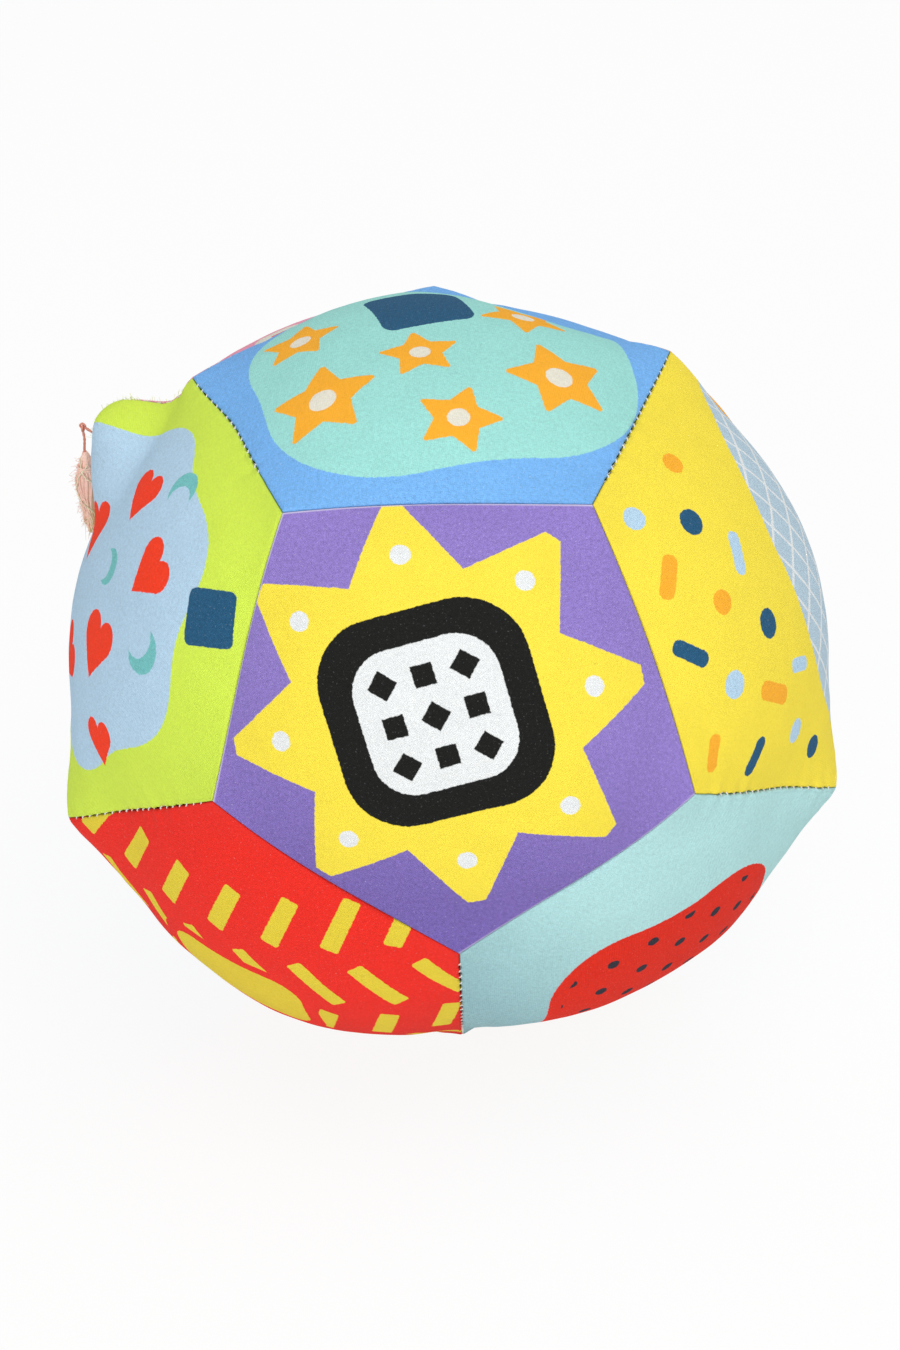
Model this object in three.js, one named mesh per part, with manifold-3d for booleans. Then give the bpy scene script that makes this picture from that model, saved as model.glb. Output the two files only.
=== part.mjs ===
// A soft fabric ball: twelve five-sided panels sewn edge to edge, stuffing, a rattle in the middle
// and a small yarn tassel in one seam.
// Millimetres, +Z up. The origin is on the floor, under the middle of the bottom panel. The front
// panel faces -Y and leans up, and +X is to its right.
import * as THREE from "three";
import { mergeVertices } from "three/addons/utils/BufferGeometryUtils.js";
import Module from "manifold-3d";

const wasm = await Module();
wasm.setup();

// Ball: how full the stuffing makes it
const BALL_RADIUS = 75.4; // from the centre to the middle of a panel
const CORNER_RISE = 1.4; // how far the corners, where three panels meet, stand out past that
const SEAM_DROP = 1.9; // how far the middle of a seam lies below it
const PUFF_FULLNESS = 1.4; // a higher value keeps a panel full until closer to its seams
const REST_PRESS = 2; // how far the ball's weight presses in the bottom panel
const REST_PRESS_RADIUS = 26;
const REST_FLAT_DEPTH = 0.5; // the pressed panel is flat from this far above its lowest point

// Cloth and sewing
const CLOTH_THICKNESS = 1;
const SEAM_ALLOWANCE = 5; // the width of cloth turned in along each seam
const FOLD_WIDTH = 1.2; // how far from the seam the cloth starts to turn in
const THREAD_DIAMETER = 0.6;
const THREAD_SIDES = 5;
const CLEARANCE = 0.3; // between pieces that touch
const PANEL_STEPS = 6; // mesh steps along one side of a panel, an even number

// Rattle
const RATTLE_DIAMETER = 32;
const RATTLE_HEIGHT = 30;
const RATTLE_WALL = 1.5;
const RATTLE_CHAMFER = 4;
const CAP_HEIGHT = 8;
const CAP_SPIGOT_DEPTH = 4;
const BEAD_DIAMETER = 6;
const BEAD_COUNT = 4;
const BEAD_WALL_GAP = 2.5; // between a bead and the cup's wall
const ROUND_STEPS = 24;

// Tassel and the seam corner that it hangs from
const PULL_HEIGHT = 9; // how far the tassel's cord pulls the seam outwards
const PULL_RADIUS = 14;
const PULL_PLACE = 0.12; // above the cord, as a share of the way up the seam
const RIDGE_HEIGHT = 5.6; // of the seam above the pulled corner
const RIDGE_RADIUS = 10;
const RIDGE_PLACE = 0.45;
const KNUCKLE_HEIGHT = 0.6; // between the pulled corner and the ridge
const KNUCKLE_RADIUS = 7;
const KNUCKLE_PLACE = 0.22;
const PULL_SPREAD = 1.5; // how much further all three reach on the left panel
const PULL_TO_LEFT = 0.05; // as a share of the way to the left panel's middle
const HOLLOW_DEPTH = 3.8; // the hollow under the pulled corner, where the tassel lies
const HOLLOW_RADIUS = 18;
const HOLLOW_PLACE = 0.68; // below the cord, as a share of the way down the seam
const CORD_DIAMETER = 0.8;
const CORD_STEM = 4; // free cord between the seam and the eye
const FREE_NECK = 3; // of the neck cord, between its ring and the yarn
const TASSEL_LENGTH = 18; // yarn only
const TASSEL_DIAMETER = 4.6;
const TASSEL_WAIST_DIAMETER = 2.5; // under the binding thread
const TASSEL_HEAD_DIAMETER = 3.4; // above the binding thread
const TASSEL_HEAD_HEIGHT = 1.2;
const TASSEL_END_DIAMETER = 1.8;
const TASSEL_LEAN = 0.5; // degrees from straight down, away from the ball
const NECK_DEPTH = 2; // how deep the neck cord sits in the yarn
const BINDING_DIAMETER = 0.5;
const BINDING_DROP = 3.4; // from the top of the yarn
const TASSEL_STEPS = 10;
const CORD_SIDES = 6;
const RING_STEPS = 12;

// The yarn below its binding swells to a spindle: shares of its height, from its end, and of its
// full radius
const SPINDLE = [
  { up: 0.4, wide: 0.85 },
  { up: 0.7, wide: 1 },
  { up: 0.92, wide: 0.8 },
];

// Small swells and dents of the hand-stuffed ball, each a height and a radius
const LEFT_CORNER_SWELL = 4;
const RIGHT_CORNER_SWELL = 3.5;
const BACK_TOP_DIP = 3.8;
const FRONT_FOOT_DIP = 2.6;
const RIGHT_FOOT_DIP = 6;
const SWELL_RADIUS = 24;
const BACK_DIP_RADIUS = 32;
const FOOT_DIP_RADIUS = 42;
const TASSEL_CORNER_SWELL = 1.5;
const LEFT_FOOT_SWELL = 1.8;
const BACK_RIGHT_CORNER_SWELL = 1.6;

// How far the sewing has left some corners from their even places, to the east and north as on a
// globe. The cloth round a corner follows it, less and less out to its reach.
const FRONT_LEFT_CORNER_EAST = -2.2;
const FRONT_RIGHT_CORNER_NORTH = -2.4;
const FRONT_FOOT_CORNER_NORTH = 2.6;
const TASSEL_CORNER_EAST = 1.4;
const TASSEL_CORNER_NORTH = -2.1;
const CORNER_REACH = 50;
const TASSEL_CORNER_REACH = 27; // less, so that the tassel's seam is sewn where it should be

// How far the stuffing has pushed the middle of some seams towards the back
const TOP_SEAM_SHIFT = 2.5;
const TOP_SEAM_REACH = 26;
const RIGHT_SEAM_SHIFT = 1.5;
const RIGHT_SEAM_REACH = 22;
const RIDGE_SHIFT = 1.2;
const RIDGE_REACH = 9; // less than from the ridge to the tassel

const RING_ELEVATION = 90 - THREE.MathUtils.radToDeg(Math.atan(2));

// Azimuth turns from the front panel towards +X, elevation rises from the floor's plane
const PANELS = {
  top: { azimuth: 0, elevation: 90, colour: 0x7ebcf4 },
  front: { azimuth: 0, elevation: RING_ELEVATION, colour: 0x8b78c4 },
  right: { azimuth: 72, elevation: RING_ELEVATION, colour: 0xfeec54 },
  back_right: { azimuth: 144, elevation: RING_ELEVATION, colour: 0xfcb232 },
  back_left: { azimuth: 216, elevation: RING_ELEVATION, colour: 0xf39ab4 },
  left: { azimuth: 288, elevation: RING_ELEVATION, colour: 0xd5ee52 },
  lower_front_right: { azimuth: 36, elevation: -RING_ELEVATION, colour: 0xaddbd8 },
  lower_right: { azimuth: 108, elevation: -RING_ELEVATION, colour: 0x9cdcd6 },
  lower_back: { azimuth: 180, elevation: -RING_ELEVATION, colour: 0x9c86d1 },
  lower_left: { azimuth: 252, elevation: -RING_ELEVATION, colour: 0x7ebcf4 },
  lower_front_left: { azimuth: 324, elevation: -RING_ELEVATION, colour: 0xf53730 },
  bottom: { azimuth: 0, elevation: -90, colour: 0xfaae32 },
};

const THREAD_COLOUR = 0xe8e4d8;
const STUFFING_COLOUR = 0xf4f2ee;
const RATTLE_COLOUR = 0xd9dde0;
const BEAD_COLOUR = 0x5a6b78;
const YARN_COLOUR = 0xdaa595;

function direction(azimuthDegrees, elevationDegrees) {
  const azimuth = THREE.MathUtils.degToRad(azimuthDegrees);
  const elevation = THREE.MathUtils.degToRad(elevationDegrees);
  return new THREE.Vector3(
    Math.sin(azimuth) * Math.cos(elevation),
    -Math.cos(azimuth) * Math.cos(elevation),
    Math.sin(elevation),
  );
}

for (const panel of Object.values(PANELS)) {
  panel.normal = direction(panel.azimuth, panel.elevation);
}

function between(...names) {
  const sum = new THREE.Vector3();
  for (const name of names) {
    sum.add(PANELS[name].normal);
  }
  return sum.normalize();
}

// The shape of the stuffed ball, seen from its centre
const PANEL_SIDES = 5;
const NEIGHBOUR_COSINE = 1 / Math.sqrt(5); // between two panels that share a seam
const cornerDirection = between("top", "front", "right");
const CORNER_COSINE = cornerDirection.dot(PANELS.top.normal);
const SEAM_COSINE = between("top", "front").dot(PANELS.top.normal);
const CORNER_RADIUS = BALL_RADIUS + CORNER_RISE;
const FLAT_FACE_RADIUS = CORNER_RADIUS * CORNER_COSINE;
const FLAT_SEAM_RADIUS = FLAT_FACE_RADIUS / SEAM_COSINE;
const ROUNDNESS =
  (BALL_RADIUS - SEAM_DROP - FLAT_SEAM_RADIUS) / (CORNER_RADIUS - FLAT_SEAM_RADIUS);
const PUFF_HEIGHT =
  BALL_RADIUS - THREE.MathUtils.lerp(FLAT_FACE_RADIUS, CORNER_RADIUS, ROUNDNESS);

const tasselSeamDirection = between("left", "back_left");
const tasselSeamTop = between("top", "left", "back_left");
const tasselSeamFoot = between("left", "back_left", "lower_left");

function upTasselSeam(place) {
  const onSeam = tasselSeamDirection.clone().lerp(tasselSeamTop, place);
  return onSeam.lerp(PANELS.left.normal, PULL_TO_LEFT).normalize();
}

const PULLS = [
  { at: upTasselSeam(PULL_PLACE), height: PULL_HEIGHT, radius: PULL_RADIUS },
  { at: upTasselSeam(RIDGE_PLACE), height: RIDGE_HEIGHT, radius: RIDGE_RADIUS },
  { at: upTasselSeam(KNUCKLE_PLACE), height: KNUCKLE_HEIGHT, radius: KNUCKLE_RADIUS },
];
const SWELLS = [
  {
    at: tasselSeamDirection.clone().lerp(tasselSeamFoot, HOLLOW_PLACE).normalize(),
    height: -HOLLOW_DEPTH,
    radius: HOLLOW_RADIUS,
  },
  {
    at: between("left", "lower_left", "lower_front_left"),
    height: LEFT_CORNER_SWELL,
    radius: SWELL_RADIUS,
  },
  {
    at: between("right", "lower_right", "lower_front_right"),
    height: RIGHT_CORNER_SWELL,
    radius: SWELL_RADIUS,
  },
  { at: between("top", "back_right"), height: -BACK_TOP_DIP, radius: BACK_DIP_RADIUS },
  {
    at: between("lower_front_left", "lower_front_right", "bottom"),
    height: -FRONT_FOOT_DIP,
    radius: FOOT_DIP_RADIUS,
  },
  {
    at: between("lower_front_right", "bottom"),
    height: -RIGHT_FOOT_DIP,
    radius: FOOT_DIP_RADIUS,
  },
  { at: tasselSeamTop, height: TASSEL_CORNER_SWELL, radius: SWELL_RADIUS },
  {
    at: between("top", "right", "back_right"),
    height: BACK_RIGHT_CORNER_SWELL,
    radius: SWELL_RADIUS,
  },
  {
    at: between("lower_left", "lower_front_left"),
    height: LEFT_FOOT_SWELL,
    radius: SWELL_RADIUS,
  },
  { at: PANELS.bottom.normal, height: -REST_PRESS, radius: REST_PRESS_RADIUS },
];

// 1 at a point of the ball, 0 from a distance away from it
function nearness(unit, at, reach) {
  const distance = unit.angleTo(at) * BALL_RADIUS;
  return distance < reach ? Math.cos((Math.PI / 2) * (distance / reach)) ** 2 : 0;
}

function heightOf(swell, unit) {
  return swell.height * nearness(unit, swell.at, swell.radius);
}

// A pull runs out more gently towards the left panel's middle
function pullHeight({ at, height, radius }, unit) {
  const left = PANELS.left.normal;
  const leftward = left.clone().addScaledVector(at, -at.dot(left)).normalize();
  const away = unit.distanceTo(at);
  const share = away > 0 ? Math.max(0, unit.dot(leftward) / away) : 0;
  return height * nearness(unit, at, radius * (1 + (PULL_SPREAD - 1) * share ** 2));
}

function shiftedCorner(at, reach, east, north) {
  const eastward = new THREE.Vector3(0, 0, 1).cross(at).normalize();
  const northward = new THREE.Vector3().crossVectors(at, eastward);
  const move = eastward.multiplyScalar(east).addScaledVector(northward, north);
  return { at, reach, move: move.divideScalar(CORNER_RADIUS) };
}

function shiftedSeam(at, reach, towards, distance) {
  const move = PANELS[towards].normal.clone();
  move.addScaledVector(at, -move.dot(at)).setLength(distance / CORNER_RADIUS);
  return { at, reach, move };
}

const SEWN_SHIFTS = [
  shiftedCorner(between("top", "front", "left"), CORNER_REACH, FRONT_LEFT_CORNER_EAST, 0),
  shiftedCorner(
    between("front", "right", "lower_front_right"),
    CORNER_REACH,
    0,
    FRONT_RIGHT_CORNER_NORTH,
  ),
  shiftedCorner(
    between("front", "lower_front_left", "lower_front_right"),
    CORNER_REACH,
    0,
    FRONT_FOOT_CORNER_NORTH,
  ),
  shiftedCorner(tasselSeamTop, TASSEL_CORNER_REACH, TASSEL_CORNER_EAST, TASSEL_CORNER_NORTH),
  shiftedSeam(between("top", "back_left"), TOP_SEAM_REACH, "back_left", TOP_SEAM_SHIFT),
  shiftedSeam(between("top", "back_right"), TOP_SEAM_REACH, "back_right", TOP_SEAM_SHIFT),
  shiftedSeam(between("right", "back_right"), RIGHT_SEAM_REACH, "back_right", RIGHT_SEAM_SHIFT),
  shiftedSeam(upTasselSeam(RIDGE_PLACE), RIDGE_REACH, "back_left", RIDGE_SHIFT),
];

// Where a direction of the even ball lies on the sewn one
function sewn(unit) {
  const moved = unit.clone();
  for (const { at, reach, move } of SEWN_SHIFTS) {
    moved.addScaledVector(move, nearness(unit, at, reach));
  }
  return moved.normalize();
}

// Where the stuffing fills the cloth: everywhere but in the corner that the tassel pulls out
function filledRadius(unit) {
  const cosines = Object.values(PANELS).map((panel) => panel.normal.dot(unit));
  cosines.sort((a, b) => b - a);
  const nearest = cosines[0];
  let puff = 1;
  for (const cosine of cosines.slice(1, 1 + PANEL_SIDES)) {
    puff *= Math.max(0, 1 - cosine / nearest) / (1 - NEIGHBOUR_COSINE);
  }
  const fullness = 1 - Math.max(0, 1 - puff) ** PUFF_FULLNESS;
  const flatRadius = FLAT_FACE_RADIUS / nearest;
  let radius = THREE.MathUtils.lerp(flatRadius, CORNER_RADIUS, ROUNDNESS);
  radius += PUFF_HEIGHT * fullness;
  for (const swell of SWELLS) {
    radius += heightOf(swell, unit);
  }
  return radius;
}

function skinRadius(unit) {
  return PULLS.reduce((radius, pull) => radius + pullHeight(pull, unit), filledRadius(unit));
}

// Panels share a seam where their normals lean towards each other
function touching(first, second) {
  return first !== second && PANELS[first].normal.dot(PANELS[second].normal) > 0;
}

// The corners of a panel, counter-clockwise seen from outside, on the plane that touches the
// unit ball at the panel's middle
function panelOutline(name) {
  const normal = PANELS[name].normal;
  const start = new THREE.Vector3(1, 0, 0);
  if (Math.abs(normal.x) > 0.8) {
    start.set(0, 1, 0);
  }
  const across = new THREE.Vector3().crossVectors(normal, start).normalize();
  const up = new THREE.Vector3().crossVectors(normal, across);
  const around = Object.keys(PANELS)
    .filter((other) => touching(name, other))
    .map((other) => {
      const towards = PANELS[other].normal;
      return { other, angle: Math.atan2(towards.dot(up), towards.dot(across)) };
    })
    .sort((a, b) => a.angle - b.angle)
    .map((entry) => entry.other);
  return around.map((other, i) => {
    const corner = between(name, other, around[(i + 1) % around.length]);
    return corner.divideScalar(corner.dot(normal));
  });
}

const halfSeamAngle = Math.acos(SEAM_COSINE);

// How much a panel's outline shrinks so that its sides lie this far from the seams' planes
function outlineShare(distanceFromSeam) {
  const angle = halfSeamAngle - distanceFromSeam / (BALL_RADIUS - SEAM_DROP);
  return Math.tan(angle) / Math.tan(halfSeamAngle);
}

// One ring of points round a panel: five sides of the given steps, at a share of the outline,
// this far under the ball's skin or another surface
function ringOf(name, steps, share, inset, floor, surface = skinRadius) {
  const normal = PANELS[name].normal;
  const outline = panelOutline(name);
  const sides = outline.map((corner, side) => {
    const next = outline[(side + 1) % outline.length];
    const points = [];
    for (let j = 0; j < Math.max(1, steps); j += 1) {
      const flat = corner.clone().lerp(next, steps ? j / steps : 0);
      const unit = normal.clone().lerp(flat, share).normalize();
      const point = sewn(unit).multiplyScalar(surface(unit) - inset);
      point.z = Math.max(point.z, floor + inset);
      points.push(point);
    }
    return points;
  });
  return { steps, sides };
}

// A closed surface through rings of points. Neighbouring rings have equally many steps, or one
// step more or less, and no steps is a single point.
function surfaceThrough(rings) {
  const positions = [];
  const indices = [];
  const numbered = rings.map(({ steps, sides }) => {
    if (steps === 0) {
      positions.push(...sides[0][0].toArray());
      const only = positions.length / 3 - 1;
      return { steps, at: () => only };
    }
    const first = positions.length / 3;
    for (const points of sides) {
      for (const point of points) {
        positions.push(...point.toArray());
      }
    }
    const count = steps * sides.length;
    return { steps, at: (side, j) => first + ((side * steps + j) % count) };
  });
  for (let i = 1; i < numbered.length; i += 1) {
    const a = numbered[i - 1];
    const b = numbered[i];
    for (let side = 0; side < rings[0].sides.length; side += 1) {
      for (let j = 0; j < Math.max(a.steps, b.steps); j += 1) {
        if (a.steps < b.steps) {
          indices.push(a.at(side, j), b.at(side, j), b.at(side, j + 1));
          if (j < a.steps) {
            indices.push(a.at(side, j), b.at(side, j + 1), a.at(side, j + 1));
          }
        } else if (a.steps > b.steps) {
          indices.push(a.at(side, j), b.at(side, j), a.at(side, j + 1));
          if (j < b.steps) {
            indices.push(b.at(side, j), b.at(side, j + 1), a.at(side, j + 1));
          }
        } else {
          indices.push(a.at(side, j), b.at(side, j), b.at(side, j + 1));
          indices.push(a.at(side, j), b.at(side, j + 1), a.at(side, j + 1));
        }
      }
    }
  }
  const geometry = new THREE.BufferGeometry();
  geometry.setAttribute("position", new THREE.Float32BufferAttribute(positions, 3));
  geometry.setIndex(indices);
  return geometry;
}

// Rings from the middle of a panel out to a share of its outline
function fanRings(name, steps, share, inset, floor, surface = skinRadius) {
  const rings = [];
  for (let i = 0; i <= steps; i += 1) {
    rings.push(ringOf(name, i, (share * i) / steps, inset, floor, surface));
  }
  return rings;
}

function lowestSkin() {
  let lowest = Infinity;
  for (const ring of fanRings("bottom", PANEL_STEPS, 1, 0, -Infinity)) {
    for (const point of ring.sides.flat()) {
      lowest = Math.min(lowest, point.z);
    }
  }
  return lowest;
}

const FLOOR = lowestSkin() + REST_FLAT_DEPTH; // seen from the ball's centre
const CENTRE_HEIGHT = -FLOOR;
const HALF_GAP = CLEARANCE / 2;

function solidOf(geometry) {
  const bare = geometry.index ? geometry.toNonIndexed() : geometry.clone();
  bare.deleteAttribute("normal");
  bare.deleteAttribute("uv");
  const merged = mergeVertices(bare, 1e-4);
  const corners = merged.index.array;
  const kept = [];
  for (let i = 0; i < corners.length; i += 3) {
    const [a, b, c] = corners.subarray(i, i + 3);
    if (a !== b && b !== c && c !== a) {
      kept.push(a, b, c);
    }
  }
  return new wasm.Manifold(
    new wasm.Mesh({
      numProp: 3,
      vertProperties: merged.attributes.position.array,
      triVerts: new Uint32Array(kept),
    }),
  );
}

function geometryOf(solid) {
  const mesh = solid.getMesh();
  const geometry = new THREE.BufferGeometry();
  geometry.setAttribute("position", new THREE.BufferAttribute(mesh.vertProperties, 3));
  geometry.setIndex(new THREE.BufferAttribute(mesh.triVerts, 1));
  return geometry;
}

function piece(name, geometry, colour, roughness = 0.9) {
  const material = new THREE.MeshStandardMaterial({ color: colour, roughness, metalness: 0 });
  const mesh = new THREE.Mesh(geometry, material);
  mesh.name = name;
  return mesh;
}

const part = new THREE.Group();
const ball = new THREE.Group(); // its origin is the ball's centre
ball.position.z = CENTRE_HEIGHT;
part.add(ball);

// The cord's channel through the seam that holds the tassel, from outside to past the allowances
const tipRadius = skinRadius(tasselSeamDirection);
const CHANNEL_RADIUS = CORD_DIAMETER / 2 + CLEARANCE;
const CORD_ROOT = SEAM_ALLOWANCE - CLEARANCE;

function alongTasselCord(geometry, radiusFromCentre) {
  geometry.rotateX(Math.PI / 2);
  geometry.translate(0, 0, radiusFromCentre);
  const turn = new THREE.Quaternion().setFromUnitVectors(
    new THREE.Vector3(0, 0, 1),
    tasselSeamDirection,
  );
  return geometry.applyQuaternion(turn);
}

const channelLength = 2 * (SEAM_ALLOWANCE + CLOTH_THICKNESS);
const cordChannel = solidOf(
  alongTasselCord(
    new THREE.CylinderGeometry(CHANNEL_RADIUS, CHANNEL_RADIUS, channelLength, CORD_SIDES),
    tipRadius,
  ),
);

function panelGeometry(name) {
  const shoulder = outlineShare(HALF_GAP + FOLD_WIDTH);
  const seamFace = outlineShare(HALF_GAP);
  const backFace = outlineShare(HALF_GAP + CLOTH_THICKNESS);
  const outside = fanRings(name, PANEL_STEPS, shoulder, 0, FLOOR);
  const turnedIn = [
    ringOf(name, PANEL_STEPS, seamFace, FOLD_WIDTH, FLOOR),
    ringOf(name, PANEL_STEPS, seamFace, SEAM_ALLOWANCE, FLOOR),
    ringOf(name, PANEL_STEPS, backFace, SEAM_ALLOWANCE, FLOOR),
  ];
  const inside = fanRings(name, PANEL_STEPS, backFace, CLOTH_THICKNESS, FLOOR).reverse();
  const geometry = surfaceThrough([...outside, ...turnedIn, ...inside]);
  if (name === "left" || name === "back_left") {
    return geometryOf(solidOf(geometry).subtract(cordChannel));
  }
  return geometry;
}

for (const [name, { colour }] of Object.entries(PANELS)) {
  ball.add(piece("panel_" + name, panelGeometry(name), colour));
}

// Seam threads: each lies in the groove between two panels, clear of the rounded folds. Its
// bends are level with the steps of the panels' sides.
function seamPoints(first, second, from, to) {
  const shoulderAngle = (HALF_GAP + FOLD_WIDTH) / BALL_RADIUS;
  const across = PANELS[first].normal.clone().sub(PANELS[second].normal).normalize();
  // The folds are cut at 45 degrees, so the thread's middle is this far above their meeting line
  const rise = (THREAD_DIAMETER / 2 + CLEARANCE) * Math.SQRT2 - HALF_GAP;
  const points = [];
  for (let i = 0; i <= PANEL_STEPS; i += 1) {
    const onSeam = from.clone().lerp(to, i / PANEL_STEPS).normalize();
    const shoulders = [shoulderAngle, -shoulderAngle].map((angle) =>
      skinRadius(onSeam.clone().addScaledVector(across, angle).normalize()),
    );
    const point = sewn(onSeam).multiplyScalar(Math.max(...shoulders) - FOLD_WIDTH + rise);
    point.z = Math.max(point.z, FLOOR + THREAD_DIAMETER);
    points.push(point);
  }
  return points;
}

// The stretch of a path of equal steps between two shares of its length. A point of the path
// that lies closer to either end than LEAST_STEP, as a share of one step, is left out.
const LEAST_STEP = 0.25;

function stretchOf(points, startShare, endShare) {
  const last = points.length - 1;
  const at = (share) => {
    const before = Math.min(last - 1, Math.floor(share * last));
    return points[before].clone().lerp(points[before + 1], share * last - before);
  };
  const margin = LEAST_STEP / last;
  const inside = points.filter(
    (_, i) => i / last > startShare + margin && i / last < endShare - margin,
  );
  return [at(startShare), ...inside, at(endShare)];
}

// A round tube with closed ends, through points near the ball's skin
function sweptTube(points, diameter, sides) {
  const rings = points.map((point, i) => {
    const before = points[Math.max(0, i - 1)];
    const after = points[Math.min(points.length - 1, i + 1)];
    const along = after.clone().sub(before).normalize();
    const sideways = new THREE.Vector3().crossVectors(point, along).normalize();
    const outwards = new THREE.Vector3().crossVectors(along, sideways);
    const ring = [];
    for (let j = 0; j < sides; j += 1) {
      const angle = (j / sides) * 2 * Math.PI;
      const onRing = point.clone();
      onRing.addScaledVector(outwards, (Math.cos(angle) * diameter) / 2);
      onRing.addScaledVector(sideways, (Math.sin(angle) * diameter) / 2);
      ring.push([onRing]);
    }
    return { steps: 1, sides: ring };
  });
  const start = { steps: 0, sides: Array(sides).fill([points[0]]) };
  const end = { steps: 0, sides: Array(sides).fill([points[points.length - 1]]) };
  return surfaceThrough([start, ...rings, end]);
}

function seamThread(label, points, startShare, endShare) {
  const stretch = stretchOf(points, startShare, endShare);
  const tube = sweptTube(stretch, THREAD_DIAMETER, THREAD_SIDES);
  ball.add(piece("seam_thread_" + label, tube, THREAD_COLOUR));
}

const names = Object.keys(PANELS);
const seamLength = 2 * CORNER_RADIUS * Math.sqrt(1 - (FLAT_SEAM_RADIUS / CORNER_RADIUS) ** 2);
const endTrim = (THREAD_DIAMETER + 2 * CLEARANCE) / seamLength;
const cordTrim = (CHANNEL_RADIUS + THREAD_DIAMETER / 2 + CLEARANCE) / seamLength;

names.forEach((first, i) => {
  for (const second of names.slice(i + 1).filter((other) => touching(first, other))) {
    const [from, to] = names
      .filter((third) => touching(first, third) && touching(second, third))
      .map((third) => between(first, second, third))
      .sort((a, b) => b.z - a.z);
    const label = first + "_" + second;
    const points = seamPoints(first, second, from, to);
    if (between(first, second).angleTo(tasselSeamDirection) < 1e-6) {
      seamThread(label + "_upper", points, endTrim, 0.5 - cordTrim);
      seamThread(label + "_lower", points, 0.5 + cordTrim, 1 - endTrim);
    } else {
      seamThread(label, points, endTrim, 1 - endTrim);
    }
  }
});

// Stuffing: fills the ball up to the cloth, with grooves for the seam allowances and a pocket
// for the rattle
function stuffingCore() {
  const inset = CLOTH_THICKNESS + CLEARANCE;
  const grooveSide = outlineShare(HALF_GAP + CLOTH_THICKNESS + CLEARANCE);
  const grooveDepth = SEAM_ALLOWANCE + CLEARANCE;
  const vertices = [];
  for (const name of names) {
    const geometry = surfaceThrough([
      ...fanRings(name, PANEL_STEPS, grooveSide, inset, FLOOR, filledRadius),
      ringOf(name, PANEL_STEPS, grooveSide, grooveDepth, FLOOR, filledRadius),
      ringOf(name, PANEL_STEPS, 1, grooveDepth, FLOOR, filledRadius),
    ]);
    vertices.push(...geometry.toNonIndexed().attributes.position.array);
  }
  const core = new THREE.BufferGeometry();
  core.setAttribute("position", new THREE.Float32BufferAttribute(vertices, 3));
  return solidOf(core);
}

// A chamfered can on the Z axis, centred on the origin
function canGeometry(diameter, height, chamfer) {
  const radius = diameter / 2;
  const profile = [
    new THREE.Vector2(0, -height / 2),
    new THREE.Vector2(radius - chamfer, -height / 2),
    new THREE.Vector2(radius, -height / 2 + chamfer),
    new THREE.Vector2(radius, height / 2 - chamfer),
    new THREE.Vector2(radius - chamfer, height / 2),
    new THREE.Vector2(0, height / 2),
  ];
  return new THREE.LatheGeometry(profile, ROUND_STEPS).rotateX(Math.PI / 2);
}

function halfSpace(above, level) {
  const size = 4 * BALL_RADIUS;
  const box = new THREE.BoxGeometry(size, size, size);
  box.translate(0, 0, above ? level + size / 2 : level - size / 2);
  return solidOf(box);
}

const pocket = solidOf(
  canGeometry(RATTLE_DIAMETER + 2 * CLEARANCE, RATTLE_HEIGHT + 2 * CLEARANCE, RATTLE_CHAMFER),
);
const stuffing = stuffingCore().subtract(pocket);
const lowerStuffing = stuffing.intersect(halfSpace(false, -HALF_GAP));
const upperStuffing = stuffing.intersect(halfSpace(true, HALF_GAP));
ball.add(piece("stuffing_lower", geometryOf(lowerStuffing), STUFFING_COLOUR));
ball.add(piece("stuffing_upper", geometryOf(upperStuffing), STUFFING_COLOUR));

// Rattle: a cup, and a cap whose spigot fits inside the cup's mouth
const rattleRadius = RATTLE_DIAMETER / 2;
const rattleTop = RATTLE_HEIGHT / 2;
const cupInside = rattleRadius - RATTLE_WALL;
const cupRim = rattleTop - CAP_HEIGHT;
const floorLevel = -rattleTop + RATTLE_WALL;
const capUnderside = rattleTop - RATTLE_WALL;
const innerChamfer = RATTLE_CHAMFER * (1 - RATTLE_WALL / rattleRadius);

const cupProfile = [
  new THREE.Vector2(0, -rattleTop),
  new THREE.Vector2(rattleRadius - RATTLE_CHAMFER, -rattleTop),
  new THREE.Vector2(rattleRadius, -rattleTop + RATTLE_CHAMFER),
  new THREE.Vector2(rattleRadius, cupRim - CLEARANCE),
  new THREE.Vector2(cupInside, cupRim - CLEARANCE),
  new THREE.Vector2(cupInside, floorLevel + innerChamfer),
  new THREE.Vector2(cupInside - innerChamfer, floorLevel),
  new THREE.Vector2(0, floorLevel),
];
const spigotOutside = cupInside - CLEARANCE;
const spigotInside = spigotOutside - RATTLE_WALL;
const capProfile = [
  new THREE.Vector2(0, capUnderside),
  new THREE.Vector2(spigotInside - RATTLE_CHAMFER, capUnderside),
  new THREE.Vector2(spigotInside, capUnderside - RATTLE_CHAMFER),
  new THREE.Vector2(spigotInside, cupRim - CAP_SPIGOT_DEPTH),
  new THREE.Vector2(spigotOutside, cupRim - CAP_SPIGOT_DEPTH),
  new THREE.Vector2(spigotOutside, cupRim),
  new THREE.Vector2(rattleRadius, cupRim),
  new THREE.Vector2(rattleRadius, rattleTop - RATTLE_CHAMFER),
  new THREE.Vector2(rattleRadius - RATTLE_CHAMFER, rattleTop),
  new THREE.Vector2(0, rattleTop),
];

function turned(profile, steps) {
  return new THREE.LatheGeometry(profile, steps).rotateX(Math.PI / 2);
}

ball.add(piece("rattle_cup", turned(cupProfile, ROUND_STEPS), RATTLE_COLOUR, 0.4));
ball.add(piece("rattle_cap", turned(capProfile, ROUND_STEPS), RATTLE_COLOUR, 0.4));

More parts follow.
